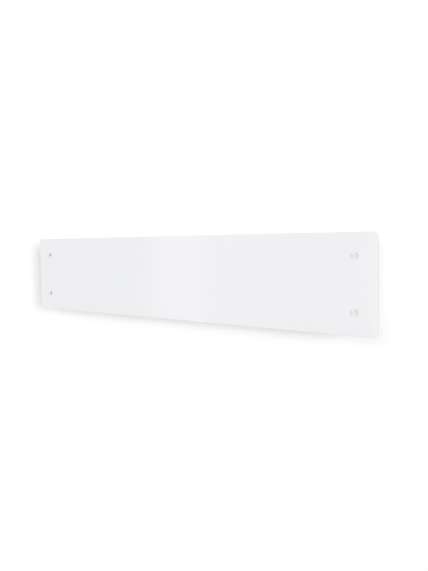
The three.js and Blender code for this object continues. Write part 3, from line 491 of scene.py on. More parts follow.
class Finish:
    """The nodes of a material, or of the world, while they are put together."""

    def __init__(self, owner, kind="Material", coordinates="Object"):
        owner.use_nodes = True
        self.tree = owner.node_tree
        self.tree.nodes.clear()
        self.output = self.add(f"ShaderNodeOutput{kind}")
        self.places = self.add("ShaderNodeTexCoord").outputs[coordinates]

    def add(self, kind, settings=None, values=None):
        """One node: its settings first, then the values or links of its sockets.

        A node given as a value stands for its first output.
        """
        node = self.tree.nodes.new(kind)
        for key, value in (settings or {}).items():
            if key == "stops":
                ramp = node.color_ramp
                while len(ramp.elements) < len(value):
                    ramp.elements.new(0.5)
                for stop, (at, colour) in zip(ramp.elements, value):
                    stop.position = at
                    stop.color = (*colour, 1)
            else:
                setattr(node, key, value)
        for key, value in (values or {}).items():
            value = getattr(value, "socket", value)
            if isinstance(value, bpy.types.Node):
                value = value.outputs[0]
            if isinstance(value, bpy.types.NodeSocket):
                self.tree.links.new(value, node.inputs[key])
            elif isinstance(value, tuple) and len(value) == 3:
                full = node.inputs[key].type == "RGBA"
                node.inputs[key].default_value = (*value, 1) if full else value
            else:
                node.inputs[key].default_value = value
        return node

    def math(self, operation, *values):
        made = self.add("ShaderNodeMath", {"operation": operation}, dict(enumerate(values)))
        return Sum(self, made.outputs[0])

    def place(self, centre=(0, 0, 0), turn=(0, 0, 0), scale=(1, 1, 1)):
        """Object coordinates measured from a centre, turned and stretched."""
        moved = self.add(
            "ShaderNodeVectorMath", {"operation": "SUBTRACT"}, {0: self.places, 1: tuple(centre)}
        )
        return self.add(
            "ShaderNodeMapping", {}, {"Vector": moved, "Rotation": turn, "Scale": scale}
        )

    def axes(self, vector=None):
        """The three parts of a vector as sums."""
        parts = self.add("ShaderNodeSeparateXYZ", {}, {0: vector or self.places})
        return [Sum(self, part) for part in parts.outputs]

    def noise(self, scale, detail=3, rough=0.55, vector=None):
        values = {"Scale": scale, "Detail": detail, "Roughness": rough}
        node = self.add("ShaderNodeTexNoise", {}, {"Vector": vector or self.places, **values})
        return Sum(self, node.outputs["Fac"])

    def cells(self, scale, vector=None, scatter=1.0):
        """Cells: the distance to the middle of each, and a colour of its own."""
        values = {"Scale": scale, "Randomness": scatter}
        node = self.add("ShaderNodeTexVoronoi", {}, {"Vector": vector or self.places, **values})
        return Sum(self, node.outputs["Distance"]), node.outputs["Color"]

    def blend(self, amount, first, second):
        """A colour between two colours, which a Mix node takes at its sockets 6 and 7."""
        values = {0: amount, 6: first, 7: second}
        return self.add("ShaderNodeMix", {"data_type": "RGBA"}, values).outputs[2]

    def tint(self, amount, colour, low, high=1.0):
        """A colour between two shades of itself."""
        return self.blend(amount, shaded(colour, low), shaded(colour, high))

    def fit(self, value, low, high, to_low=0.0, to_high=1.0):
        """A value carried from one range to another, held inside it."""
        node = self.add(
            "ShaderNodeMapRange", {}, {0: value, 1: low, 2: high, 3: to_low, 4: to_high}
        )
        return Sum(self, node.outputs[0])

    def bump(self, height, distance, strength):
        values = {"Height": height, "Distance": distance, "Strength": strength}
        return self.add("ShaderNodeBump", {}, values)

    def end(self, shader):
        self.tree.links.new(shader.outputs[0], self.output.inputs["Surface"])

    def done(self, **values):
        """Ends the material with its shader; a name's underscores are spaces."""
        sockets = {key.replace("_", " "): value for key, value in values.items()}
        self.end(self.add("ShaderNodeBsdfPrincipled", {}, sockets))


finishes = {}


def finish(name, make, *values):
    """The named finish, made once."""
    if name not in finishes:
        finishes[name] = bpy.data.materials.new(name)
        make(Finish(finishes[name]), *values)
    return finishes[name]


def white_glass(f, colour):
    """The face of the pane: very smooth clear glass over a cool white enamel."""
    wiped = f.noise(160, 3, vector=f.place(turn=(0, 0.5, 0), scale=(0.15, 1, 1)))
    f.done(
        Base_Color=f.tint(f.fit(f.noise(5, 2), 0.35, 0.65), colour, 0.99),
        Roughness=f.fit(wiped, 0.35, 0.7, 0.03, 0.055),
        IOR=1.52,
    )


def polished_edge(f, colour):
    """The polished rim of the pane, where the glass itself shows a little."""
    band = f.noise(70, 2, vector=f.place(scale=(1, 8, 1)))
    f.done(
        Base_Color=f.tint(f.fit(band, *USUAL), colour, 0.84, 0.9),
        Roughness=f.fit(f.noise(1500, 2), *USUAL, 0.09, 0.16),
        Normal=f.bump(f.noise(900, 2), 0.004 * MM, 0.4),
        IOR=1.52,
    )


def enamel_back(f, colour):
    """The fired enamel on the back of the pane: matt, with a fine screen grain."""
    screen = f.noise(2600, 2)
    f.done(
        Base_Color=f.tint(f.fit(f.noise(22, 4), *USUAL), colour, 0.9, 0.98),
        Roughness=f.fit(screen, *USUAL, 0.5, 0.66),
        Normal=f.bump(screen, 0.015 * MM, 0.5),
    )


def turned_steel(f, colour, centre, pitch, flat):
    """Satin stainless steel with the fine rings that turning leaves round its axis."""
    x, _, z = f.axes(f.place(centre))
    radius = (x * x + z * z) ** 0.5
    rings = (radius * (math.tau / pitch)).math("SINE")
    faced = f.fit(radius, 0.55 * flat, 0.95 * flat)
    uneven = f.noise(2200, 2, vector=f.place(centre))
    brushed = rings * 0.35 + uneven
    f.done(
        Base_Color=f.tint(f.fit(brushed, 0.1, 0.95), colour, 0.94, 1.03),
        Metallic=1.0,
        Roughness=f.fit(uneven, *USUAL, 0.16, 0.22) + faced * 0.08,
        Normal=f.bump(brushed, 0.004 * MM, 0.35),
    )


def powder_coat(f, colour, grain):
    """Baked powder paint: a soft satin with fine waves."""
    waves = f.noise(1 / grain, 2, 0.5)
    fine = f.noise(4 / grain, 2, 0.5)
    f.done(
        Base_Color=f.tint(f.fit(f.noise(9, 4), *USUAL), colour, 0.975),
        Roughness=f.fit(waves, *USUAL, 0.4, 0.54),
        Normal=f.bump(waves * 0.7 + fine * 0.3, 0.035 * MM, 0.5),
        IOR=1.5,
    )


def moulded(f, colour, low=0.36, high=0.5):
    """Injection-moulded plastic with a fine spark-eroded grain."""
    grain = f.cells(3200)[0] * 0.6 + f.noise(5200, 2) * 0.4
    flow = f.fit(f.noise(18, 3, vector=f.place(scale=(1, 1, 0.4))), *USUAL)
    f.done(
        Base_Color=f.tint(flow, colour, 0.965, 1.01),
        Roughness=f.fit(grain, 0.2, 0.7, low, high),
        Normal=f.bump(grain, 0.012 * MM, 0.45),
        IOR=1.46,
    )


def zinc_plate(f, colour, spangle):
    """Zinc-plated steel: grey crystals, rolling streaks and dull patches."""
    wander = f.noise(260, 2) * (1.2 * MM)
    shifted = f.add("ShaderNodeVectorMath", {"operation": "ADD"}, {0: f.places, 1: wander})
    crystal = f.axes(f.cells(1 / spangle, shifted)[1])[0]
    streak = f.noise(60, 4, vector=f.place(scale=(1, 1, 14)))
    dull = f.fit(f.noise(24, 4), 0.4, 0.68)
    mixed = crystal * 0.5 + streak * 0.5
    bright = f.tint(f.fit(mixed, 0.15, 0.85), colour, 0.84, 1.1)
    f.done(
        Base_Color=f.blend(dull * 0.35, bright, shaded(colour, 0.78)),
        Metallic=0.92,
        Roughness=f.fit(mixed + dull * 0.3, 0.2, 1.1, 0.3, 0.52),
        Normal=f.bump(streak * 0.6 + crystal * 0.4, 0.01 * MM, 0.3),
    )


def extruded_aluminium(f, colour):
    """Extruded aluminium with die lines along its length."""
    lines = f.noise(1, 5, 0.7, vector=f.place(scale=(3, 1600, 1600)))
    hazy = f.fit(f.noise(14, 3), 0.35, 0.7)
    f.done(
        Base_Color=f.tint(f.fit(lines, *USUAL), colour, 0.88, 1.05),
        Metallic=0.95,
        Roughness=f.fit(lines + hazy * 0.4, 0.3, 1.0, 0.26, 0.46),
        Normal=f.bump(lines, 0.008 * MM, 0.4),
    )


# Tints of the rod's sheath on the way from its cool ends to its hot middle.
HEAT_TINTS = (
    (0.3, (0.42, 0.32, 0.19)),
    (0.5, (0.27, 0.19, 0.2)),
    (0.72, (0.16, 0.17, 0.22)),
    (1.0, (0.2, 0.19, 0.18)),
)
HEAT_FADE = 50 * MM


def heated_rod(f, colour, half_length, centre):
    """The sheath of the heating rod, tinted straw and blue by heat away from its ends."""
    x = f.axes(f.place(centre))[0]
    heat = f.fit(abs(x) + f.noise(90, 3) * 0.012, half_length, half_length - HEAT_FADE)
    tint = f.add("ShaderNodeValToRGB", {"stops": [(0.0, colour), *HEAT_TINTS]}, {0: heat})
    rubbed = f.noise(700, 3, vector=f.place(scale=(0.1, 1, 1)))
    f.done(
        Base_Color=tint,
        Metallic=0.9,
        Roughness=f.fit(rubbed, *USUAL, 0.32, 0.5),
        Normal=f.bump(rubbed, 0.01 * MM, 0.4),
    )


def fired_ceramic(f, colour):
    """Unglazed ceramic: dry, off-white and faintly speckled."""
    dry = f.noise(2400, 3)
    f.done(
        Base_Color=f.tint(f.fit(f.cells(900)[0], 0.02, 0.2), colour, 0.8),
        Roughness=f.fit(dry, *USUAL, 0.62, 0.78),
        Normal=f.bump(dry, 0.02 * MM, 0.5),
    )


def soft_rubber(f, colour):
    """Black elastomer with a dry bloom."""
    pores = f.noise(3800, 2)
    f.done(
        Base_Color=f.tint(f.fit(f.noise(300, 4), 0.4, 0.75), colour, 1, 1.9),
        Roughness=f.fit(pores, *USUAL, 0.7, 0.86),
        Normal=f.bump(pores, 0.012 * MM, 0.5),
    )


WINDOW_BORDER = 2.2 * MM


def smoked_window(f, centre, size):
    """Dark gloss window with a blacker printed border."""
    x, y, _ = f.axes(f.place(centre))
    beside, beyond = (
        abs(part) > side / 2 - WINDOW_BORDER for part, side in zip((x, y), size)
    )
    smoke = f.blend(
        f.fit(f.noise(120, 2), *USUAL), (0.018, 0.02, 0.023), (0.026, 0.028, 0.032)
    )
    f.done(
        Base_Color=f.blend((beside + beyond) > 0.5, smoke, (0.006, 0.006, 0.007)),
        Roughness=f.fit(f.noise(900, 2), *USUAL, 0.04, 0.08),
        IOR=1.49,
        Coat_Weight=0.4,
        Coat_Roughness=0.03,
    )


PAD_PITCH = 2.54 * MM
TRACK_PITCH = 1.27 * MM
SOLDER_MASK = (0.02, 0.16, 0.07)


def circuit_board(f, flat):
    """Green solder mask over copper tracks, with rows of tinned pads; flat names its axes."""
    parts = f.axes(f.place(scale=tuple(1.0 if i in flat else 0.0 for i in range(3))))
    u, v = (parts[i] for i in flat)
    pads = f.add("ShaderNodeCombineXYZ", {}, {0: u / PAD_PITCH, 1: v / PAD_PITCH})
    off_centre = f.cells(1, pads, scatter=0.0)[0]
    region = f.noise(55, 1) > 0.52
    pad = (off_centre < 0.27) * region
    # The pads' drill holes are painted shade: a near-black disc in place of a real hole.
    drill_hole_shade = (off_centre < 0.12) * region
    lane, cross = ((part / TRACK_PITCH).math("FRACT") < 0.42 for part in (u, v))
    choose = f.noise(70, 0) > 0.5
    track = lane * choose + cross * (1 - choose)
    pour = f.fit(track * (f.noise(38, 1) > 0.44), 0, 1)
    tinned = f.blend(pad, f.tint(pour, SOLDER_MASK, 0.72, 1.35), (0.62, 0.62, 0.6))
    f.done(
        # Painted shade: the drill holes are coloured near-black.
        Base_Color=f.blend(drill_hole_shade, tinned, (0.03, 0.03, 0.03)),
        Metallic=f.fit(pad - drill_hole_shade, 0, 1, 0, 0.85),
        Roughness=f.fit(pad, 0, 1, 0.3, 0.36),
        Normal=f.bump(pour + pad * 2, 0.03 * MM, 0.6),
    )


def wire_sleeve(f, colour):
    """Silicone wire sleeve: a soft sheen with faint die lines and talc."""
    talc = f.fit(f.noise(420, 4), 0.5, 0.8)
    lines = f.noise(1500, 2)
    f.done(
        Base_Color=f.blend(talc * 0.3, colour, (0.55, 0.55, 0.55)),
        Roughness=f.fit(lines, *USUAL, 0.42, 0.56),
        Normal=f.bump(lines, 0.01 * MM, 0.3),
    )


def brass(f):
    """Turned brass, a little tarnished."""
    tarnish = f.fit(f.noise(500, 4), 0.35, 0.7)
    f.done(
        Base_Color=f.blend(tarnish, (0.72, 0.55, 0.27), (0.45, 0.33, 0.16)),
        Metallic=1.0,
        Roughness=f.fit(tarnish, 0, 1, 0.26, 0.44),
    )


def printed_mark(f, colour):
    """Pad-printed ink, slightly uneven at its edge."""
    ink = f.fit(f.noise(2600, 3), *USUAL)
    f.done(Base_Color=f.tint(ink, colour, 1, 1.35), Roughness=f.fit(ink, 0, 1, 0.5, 0.62))


def finish_for(slot):
    """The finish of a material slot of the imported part."""
    scene = bpy.context.scene
    casing, bracket = scene.radiator_casing, scene.radiator_bracket
    rod_place, window_place = (tuple(middle(n)) for n in ("element_rod", "display_window"))
    rod, window = span("element_rod"), span("display_window")
    make, *values = {
        "spacer_rubber": (soft_rubber, (0.03, 0.03, 0.031)),
        "white_paint": (powder_coat, tuple(casing.paint), casing.coat_grain),
        "white_plastic": (moulded, tuple(casing.plastic)),
        "grey_plastic": (moulded, (0.32, 0.33, 0.34), 0.4, 0.55),
        "black_plastic": (moulded, (0.028, 0.028, 0.03), 0.38, 0.52),
        "zinc_steel": (zinc_plate, tuple(bracket.zinc), bracket.spangle),
        "element_aluminium": (extruded_aluminium, (0.72, 0.73, 0.75)),
        "rod_steel": (heated_rod, (0.5, 0.49, 0.47), rod.x / 2, rod_place),
        "bush_ceramic": (fired_ceramic, (0.74, 0.71, 0.64)),
        "display_window": (smoked_window, window_place, (window.x, window.y)),
        "brown_wire": (wire_sleeve, (0.16, 0.075, 0.035)),
        "blue_wire": (wire_sleeve, (0.03, 0.11, 0.36)),
        "black_wire": (wire_sleeve, (0.025, 0.025, 0.027)),
    }[slot]
    return finish(slot, make, *values)


# Glass front and its fixings

# The radii of the glass's holes and of the studs, and the height of a cap's rim over the glass.
GLASS_HOLE = 5 * MM
STUD_RADIUS = 3 * MM
CAP_RIM = 1.1 * MM

# A face of the pane belongs to its rim where its normal points less than this ahead or back.
PANE_FACING = 0.98


def drill(bm, centres, radius, steps):
    """Holes through a plate whose two large faces look along y."""
    rings = [[] for _ in centres]
    for face in sorted(bm.faces, key=lambda face: face.calc_area())[-2:]:
        edges = list(face.edges)
        y = face.calc_center_median().y
        bmesh.ops.delete(bm, geom=[face], context="FACES_ONLY")
        for ring, (x, z) in zip(rings, centres):
            lie = Matrix.Translation((x, y, z)) @ Matrix.Rotation(math.pi / 2, 4, "X")
            circle = bmesh.ops.create_circle(bm, segments=steps, radius=radius, matrix=lie)
            loop = list(dict.fromkeys(e for vert in circle["verts"] for e in vert.link_edges))
            ring += loop
            edges += loop
        bmesh.ops.triangle_fill(bm, use_beauty=True, use_dissolve=False, edges=edges)
    for ring in rings:
        bmesh.ops.bridge_loops(bm, edges=ring)
    face_outwards(bm)


class RADIATOR_OT_front_glass(bpy.types.Operator):
    """The white glass front with its rounded corners and polished rim"""

    bl_idname = "radiator.front_glass"
    bl_label = "Front glass"

    def execute(self, context):
        glass = context.scene.radiator_glass
        low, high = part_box("front_glass")
        bm = rounded_block(
            (glass.width, high.y - low.y - glass.facet_depth, glass.height),
            glass.edge_polish,
            glass.corner_radius,
            axis=1,
            segments=4,
            corner_steps=10,
            centre=middle("front_glass") + Vector((0, glass.facet_depth / 2, 0)),
        )
        front = min(bm.faces, key=lambda face: (face.normal.y, -face.calc_area()))
        bmesh.ops.inset_individual(
            bm, faces=[front], thickness=glass.facet_width, depth=glass.facet_depth
        )
        places = [middle(f"fixing_cap_{corner}") for corner in CORNERS]
        drill(bm, [(place.x, place.z) for place in places], GLASS_HOLE, steps=32)
        face_look, rim_look, back_look = range(3)
        for face in bm.faces:
            if abs(face.normal.y) < PANE_FACING:
                face.material_index = rim_look
            elif face.calc_center_median().y > (low.y + high.y) / 2:
                face.material_index = back_look
            else:
                face.material_index = face_look
        looks = {"glass_face": white_glass, "glass_rim": polished_edge, "glass_back": enamel_back}
        colour = tuple(glass.colour)
        stand_for("front_glass", bm, [finish(name, make, colour) for name, make in looks.items()])
        return {"FINISHED"}


class RADIATOR_OT_fixings(bpy.types.Operator):
    """The four turned steel caps, their elastomer spacers and their nuts"""

    bl_idname = "radiator.fixings"
    bl_label = "Glass fixings"

    def execute(self, context):
        size = context.scene.radiator_fixings
        outer, flat = size.cap_radius, size.flat_radius
        for corner in CORNERS:
            node = f"fixing_cap_{corner}"
            low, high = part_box(node)
            face, seat, end = low.y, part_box("front_glass")[0].y - SEAT_GAP, high.y
            rim = seat - CAP_RIM
            # A faint dome, a fine line round it, the bevel, the rim, the seat and the stud.
            profile = [
                (0, face + 0.06 * MM),
                (0.5 * flat, face + 0.05 * MM),
                (0.93 * flat, face + 0.01 * MM),
                (0.97 * flat, face),
                (flat, face + 0.02 * MM),
                (flat + 0.1 * MM, face + 0.09 * MM),
                (outer - 0.2 * MM, rim - 0.09 * MM),
                (outer - 0.05 * MM, rim + 0.03 * MM),
                (outer, rim + 0.2 * MM),
                (outer, seat - 0.15 * MM),
                (outer - 0.12 * MM, seat),
                (STUD_RADIUS, seat),
                (STUD_RADIUS, end - 0.5 * MM),
                (STUD_RADIUS - 0.5 * MM, end),
                (0, end),
            ]
            centre = middle(node)
            centre = (centre.x, 0, centre.z)
            bm = bmesh.new()
            turned(bm, profile, steps=72, centre=centre)
            values = (tuple(size.colour), centre, size.groove_pitch, flat)
            stand_for(node, bm, [finish(f"cap_steel_{corner}", turned_steel, *values)])
        soften([f"glass_spacer_{corner}" for corner in CORNERS], *ROUNDINGS["spacer"])
        soften([f"fixing_nut_{corner}" for corner in CORNERS], *ROUNDINGS["nut"])
        return {"FINISHED"}


# Casing

# The stiffening beads: how far from the middle they reach, the first one above the middle of
# the back and the second one above its lower edge, half their height, their flat rim, the width
# of their slope and their depth.
BEAD_REACH = 250 * MM
BEAD_ABOVE_MIDDLE = 42 * MM
BEAD_ABOVE_EDGE = 46 * MM
BEAD_HALF = 7 * MM
BEAD_RIM = 1 * MM
BEAD_SLOPE = 2.2 * MM
BEAD_DEPTH = 1.4 * MM

# A face is pressed where its middle is this near to the bead's along x, y and z.
BEAD_NEAR = (10 * MM, 3 * MM, 1 * MM)

LONG_BEND = 20 * MM
END_CAP_ROUNDING = 0.8 * MM
END_CAP_CORNER = 3 * MM


def press_beads(bm, low, high):
    """Two shallow stiffening beads pressed into the back sheet between the bracket arms."""
    heights = ((low.z + high.z) / 2 + BEAD_ABOVE_MIDDLE, low.z + BEAD_ABOVE_EDGE)
    cut(bm, [((side * BEAD_REACH, 0, 0), (1, 0, 0)) for side in (-1, 1)])
    cut(bm, [((0, 0, z + side * BEAD_HALF), (0, 0, 1)) for z in heights for side in (-1, 1)])
    for z in heights:
        for face in list(bm.faces):
            at = face.calc_center_median() - Vector((0, high.y, z))
            # Only the sheet's outer and inner face between the cuts.
            if any(abs(part) > reach for part, reach in zip(at, BEAD_NEAR)):
                continue
            depth = -BEAD_DEPTH if face.normal.y > 0 else BEAD_DEPTH
            bmesh.ops.inset_individual(bm, faces=[face], thickness=BEAD_RIM, depth=0)
            bmesh.ops.inset_individual(bm, faces=[face], thickness=BEAD_SLOPE, depth=depth)


def bend_edges(bm, y, heights, radius):
    """Rounds the long bends that run along x at one depth and two heights."""
    bends = [
        edge
        for edge in bm.edges
        if along(edge, 0)
        and is_sharp(edge)
        and edge.calc_length() > LONG_BEND
        and near(edge, 1, y)
        and any(near(edge, 2, z) for z in heights)
    ]
    bevel(bm, bends, radius, 4)


class RADIATOR_OT_casing(bpy.types.Operator):
    """The folded rear casing and the front plate behind the glass"""

    bl_idname = "radiator.casing"
    bl_label = "Casing"

    def execute(self, context):
        casing = context.scene.radiator_casing

        def fold_rear(bm):
            low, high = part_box("rear_casing")
            high = Vector((high.x, high.y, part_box("end_cap_right")[1].z))
            press_beads(bm, low, high)
            bend_edges(bm, high.y, (low.z, high.z), casing.bend_radius)

        def fold_front(bm):
            low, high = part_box("front_plate")
            bend_edges(bm, low.y, (low.z, high.z), casing.bend_radius)

        soften(["rear_casing"], casing.edge_rounding, least=BENT, first=fold_rear)
        soften(["front_plate"], casing.edge_rounding, least=BENT, first=fold_front)
        return {"FINISHED"}


class RADIATOR_OT_end_caps(bpy.types.Operator):
    """The two moulded end caps of the casing"""

    bl_idname = "radiator.end_caps"
    bl_label = "End caps"

    def execute(self, context):
        casing = context.scene.radiator_casing
        for name, side in SIDES.items():
            node = f"end_cap_{name}"
            low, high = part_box(node)
            outside = high.x if side > 0 else low.x
            outline = [(axis, corner[axis]) for axis in (1, 2) for corner in (low, high)]

            def round_face(bm):
                rims = [
                    edge
                    for edge in bm.edges
                    if is_sharp(edge, SQUARE)
                    and near(edge, 0, outside)
                    and any(near(edge, axis, place, END_CAP_CORNER) for axis, place in outline)
                ]
                bevel(bm, rims, END_CAP_ROUNDING, 4)

            soften([node], casing.edge_rounding, least=BENT, first=round_face)
        return {"FINISHED"}


# A screw's cross recess: the length and half the width of an arm against the head's radius, its
# depth against the head's height, and how far its floor narrows.
RECESS = {"arm": 0.5, "half": 0.1, "depth": 0.6, "floor": 0.8}


def cross_head(bm, centre, axis, tip, seat, top, shank, head):
    """A pan-head screw with a cross recess, its head at the high end of the axis."""
    rise = top - seat
    profile = [
        (0, tip),
        (0.7 * shank, tip),
        (shank, tip + 0.5 * MM),
        (shank, seat),
        (head - 0.1 * MM, seat),
        (head, seat + 0.1 * MM),
        (head, seat + 0.42 * rise),
        (0.94 * head, seat + 0.7 * rise),
        (0.8 * head, top - 0.03 * MM),
        (0.62 * head, top),
    ]
    turned(bm, profile, steps=24)
    rim = [edge for edge in bm.edges if edge.is_boundary]
    arm, half = RECESS["arm"] * head, RECESS["half"] * head
    corners = [(arm, -half), (arm, half), (half, half)]
    loop = []
    for quarter in range(4):
        turn = Matrix.Rotation(-quarter * math.pi / 2, 3, "Y")
        loop += [bm.verts.new(turn @ Vector((u, top, -v))) for u, v in corners]
    cross = [bm.edges.new(pair) for pair in zip(loop, loop[1:] + loop[:1])]
    bmesh.ops.bridge_loops(bm, edges=rim + cross)
    sunk = bmesh.ops.extrude_edge_only(bm, edges=cross)["geom"]
    low = verts_of(sunk)
    ends = [item for item in sunk if isinstance(item, bmesh.types.BMEdge) and item.is_boundary]
    bmesh.ops.translate(bm, vec=(0, -RECESS["depth"] * rise, 0), verts=low)
    bmesh.ops.scale(bm, vec=(RECESS["floor"], 1, RECESS["floor"]), verts=low)
    bmesh.ops.contextual_create(bm, geom=ends)
    face_outwards(bm)
    stand(bm, centre, axis)


# The screws of a kind: their names, their axis, and their head's height, shank and head radius.
SCREWS = {
    "cap_screw": (CORNERS, "Y", 2 * MM, 1.75 * MM, 3.5 * MM),
    "lock_screw": (SIDES, "Z", 1.8 * MM, 2 * MM, 4 * MM),
}


class RADIATOR_OT_screws(bpy.types.Operator):
    """The end cap screws and the shoulder screws of the locks"""

    bl_idname = "radiator.screws"
    bl_label = "Screws"

    def execute(self, context):
        for kind, (names, axis, rise, shank, head) in SCREWS.items():
            for name in names:
                node = f"{kind}_{name}"
                along_axis = "XYZ".index(axis)
                tip, top = (corner[along_axis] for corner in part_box(node))
                centre = middle(node)
                centre[along_axis] = 0
                bm = bmesh.new()
                cross_head(bm, centre, axis, tip, top - rise, top, shank, head)
                stand_for(node, bm)
        return {"FINISHED"}


# The grilles: the pitch of the slots along and across, half the bar between two of them, how much
# of half its width a slot's corner rounds off and in how many steps, and the least length of sheet
# left beyond the slots.
SLOT_PITCH = 40 * MM
SLOT_ROW = 12 * MM
SLOT_BAR = 2.9 * MM
SLOT_ROUND = 0.95
SLOT_STEPS = 5
GRILLE_MARGIN = 8 * MM


def slotted_sheet(low, high, start, columns, rows):
    """A flat sheet with rows of round-ended slots between two heights."""
    bm = bmesh.new()
    centre = (low + high) / 2
    lie = Matrix.Translation((centre.x, centre.y, high.z)) @ Matrix.Diagonal(
        (high.x - low.x, high.y - low.y, 1, 1)
    )
    bmesh.ops.create_grid(bm, x_segments=1, y_segments=1, size=0.5, matrix=lie)
    edge = centre.y - rows * SLOT_ROW / 2
    cut(bm, [((start + i * SLOT_PITCH, 0, 0), (1, 0, 0)) for i in range(columns + 1)])
    cut(bm, [((0, edge + i * SLOT_ROW, 0), (0, 1, 0)) for i in range(rows + 1)])
    end = start + columns * SLOT_PITCH
    cells = [
        face
        for face in bm.faces
        if start < face.calc_center_median().x < end
        and abs(face.calc_center_median().y - centre.y) < rows * SLOT_ROW / 2
    ]
    bmesh.ops.inset_individual(bm, faces=cells, thickness=SLOT_BAR, depth=0)
    corners = list(dict.fromkeys(vert for face in cells for vert in face.verts))
    before = set(bm.verts) - set(corners)
    bevel(bm, corners, SLOT_ROUND * (SLOT_ROW / 2 - SLOT_BAR), SLOT_STEPS, "VERTICES")
    rounded = set(bm.verts) - before
    slots = [
        face
        for face in bm.faces
        if len(face.verts) > 4 * SLOT_STEPS and set(face.verts) <= rounded
    ]
    bmesh.ops.delete(bm, geom=slots, context="FACES_ONLY")
    made = bmesh.ops.extrude_face_region(bm, geom=bm.faces[:], use_keep_orig=True)["geom"]
    bmesh.ops.translate(bm, vec=(0, 0, low.z - high.z), verts=verts_of(made))
    face_outwards(bm)
    return bm


class RADIATOR_OT_grilles(bpy.types.Operator):
    """The outlet grille on top and the inlet grille below, with rounded slots"""

    bl_idname = "radiator.grilles"
    bl_label = "Air grilles"

    def execute(self, context):
        casing = context.scene.radiator_casing
        low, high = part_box("outlet_grille")
        duct = (low.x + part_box("partition")[1].x) / 2
        columns = int((high.x - low.x - GRILLE_MARGIN) / SLOT_PITCH)
        start = duct - columns * SLOT_PITCH / 2
        for node, rows in (("outlet_grille", 3), ("inlet_grille", 2)):
            bm = slotted_sheet(*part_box(node), start, columns, rows)
            rims = [edge for edge in bm.edges if is_sharp(edge, SQUARE)]
            bevel(bm, rims, casing.edge_rounding, 2)
            stand_for(node, bm)
        return {"FINISHED"}


# Controls

# The raised marks: how much of their width their ends round off and how much of their height
# their rim does, how far their middle lies under a key's top or over the rocker's face in mark
# heights, and in bar lengths, how far out the tips of a cross begin and the radius of the ring.
MARK_END = 0.45
MARK_RIM = 0.3
MARK_SHIFT = 0.2
CROSS_TIP = 0.45
KEY_RING = 0.36

WINDOW_CORNER = 0.8 * MM
KEY_DISH = 0.45 * MM

# The rocker's marks: the length of the bar, the radius of the ring and the width of both.
ROCKER_BAR = 3.4 * MM
ROCKER_RING = 1.4 * MM
ROCKER_LINE = 0.6 * MM
# They stand on its two largest faces whose normals point more than this out of the heater.
PAD_FACING = 0.8


def raised_bar(centre, length, width, height, turn=0.0):
    """A low bar with rounded ends, lying flat at its centre."""
    bm = rounded_block((length, width, height), height * MARK_RIM, width * MARK_END, 2, 1, 4)
    move(bm, Matrix.Translation(centre) @ Matrix.Rotation(turn, 4, "Z"))
    return bm


def raised_cross(centre, length, width, height):
    """A low plus sign with rounded ends, lying flat at its centre."""
    bm = bmesh.new()
    bmesh.ops.create_grid(bm, x_segments=1, y_segments=1, size=width / 2)
    for side in list(bm.edges):
        way = (side.verts[0].co + side.verts[1].co).normalized()
        arm = bmesh.ops.extrude_edge_only(bm, edges=[side])["geom"]
        bmesh.ops.translate(bm, verts=verts_of(arm), vec=way * (length - width) / 2)
    face_outwards(bm)
    bmesh.ops.solidify(bm, geom=bm.faces[:], thickness=height)
    join_flat(bm, 1)
    face_outwards(bm)
    tips = [
        edge
        for edge in bm.edges
        if along(edge, 2) and edge.verts[0].co.to_2d().length > length * CROSS_TIP
    ]
    bevel(bm, tips, width * MARK_END, 4)
    top = max(vert.co.z for vert in bm.verts)
    rim = [edge for edge in bm.edges if is_sharp(edge) and min(v.co.z for v in edge.verts) == top]
    bevel(bm, rim, height * MARK_RIM, 1)
    level = (min(vert.co.z for vert in bm.verts) + top) / 2
    bmesh.ops.translate(bm, verts=bm.verts, vec=Vector(centre) - Vector((0, 0, level)))
    return bm


def raised_ring(centre, radius, width, height):
    """A low ring lying flat at its centre."""
    half, edge = width / 2, height * MARK_RIM
    corners = [
        (radius - half, -height / 2),
        (radius + half, -height / 2),
        (radius + half, height / 2 - edge),
        (radius + half - edge, height / 2),
        (radius - half + edge, height / 2),
        (radius - half, height / 2 - edge),
    ]
    bm = bmesh.new()
    turned(bm, corners + corners[:1], steps=36, axis="Z", centre=centre)
    return bm


class RADIATOR_OT_controls(bpy.types.Operator):
    """The control housing in the outlet, its window, board and three keys"""

    bl_idname = "radiator.controls"
    bl_label = "Controls"

    def execute(self, context):
        def round_corners(bm):
            bevel(bm, [e for e in bm.edges if along(e, 2) and is_sharp(e)], WINDOW_CORNER, 4)

        def dish(bm):
            top = max(vert.co.z for vert in bm.verts)
            rims = [e for e in bm.edges if is_sharp(e, SQUARE) and near(e, 2, top)]
            bevel(bm, rims, KEY_DISH, 4)

        signs = ("minus", "ok", "plus")
        keys = [f"button_{sign}" for sign in signs]
        soften(["control_housing"], *ROUNDINGS["housing"])
        soften(["display_window"], *ROUNDINGS["window"], least=SQUARE, first=round_corners)
        board = finish("display_board_mask", circuit_board, (0, 1))
        soften(["display_board"], *ROUNDINGS["board"], least=SQUARE, materials=[board])
        soften(keys, *ROUNDINGS["key"], least=SQUARE, first=dish, most=SMOOTH_ARCS)

        marks = context.scene.radiator_controls
        ink = [finish("key_mark", printed_mark, tuple(marks.mark_colour))]
        size = (marks.mark_length, marks.mark_width, marks.mark_height)
        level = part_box("button_ok")[1].z - marks.mark_height * MARK_SHIFT
        for name, key in zip(signs, keys):
            place = (middle(key).x, middle(key).y, level)
            if name == "ok":
                bm = raised_ring(place, marks.mark_length * KEY_RING, *size[1:])
            elif name == "plus":
                bm = raised_cross(place, *size)
            else:
                bm = raised_bar(place, *size)
            add_piece(bm, f"mark_{name}", f"key_{name}_body", ink)
        return {"FINISHED"}


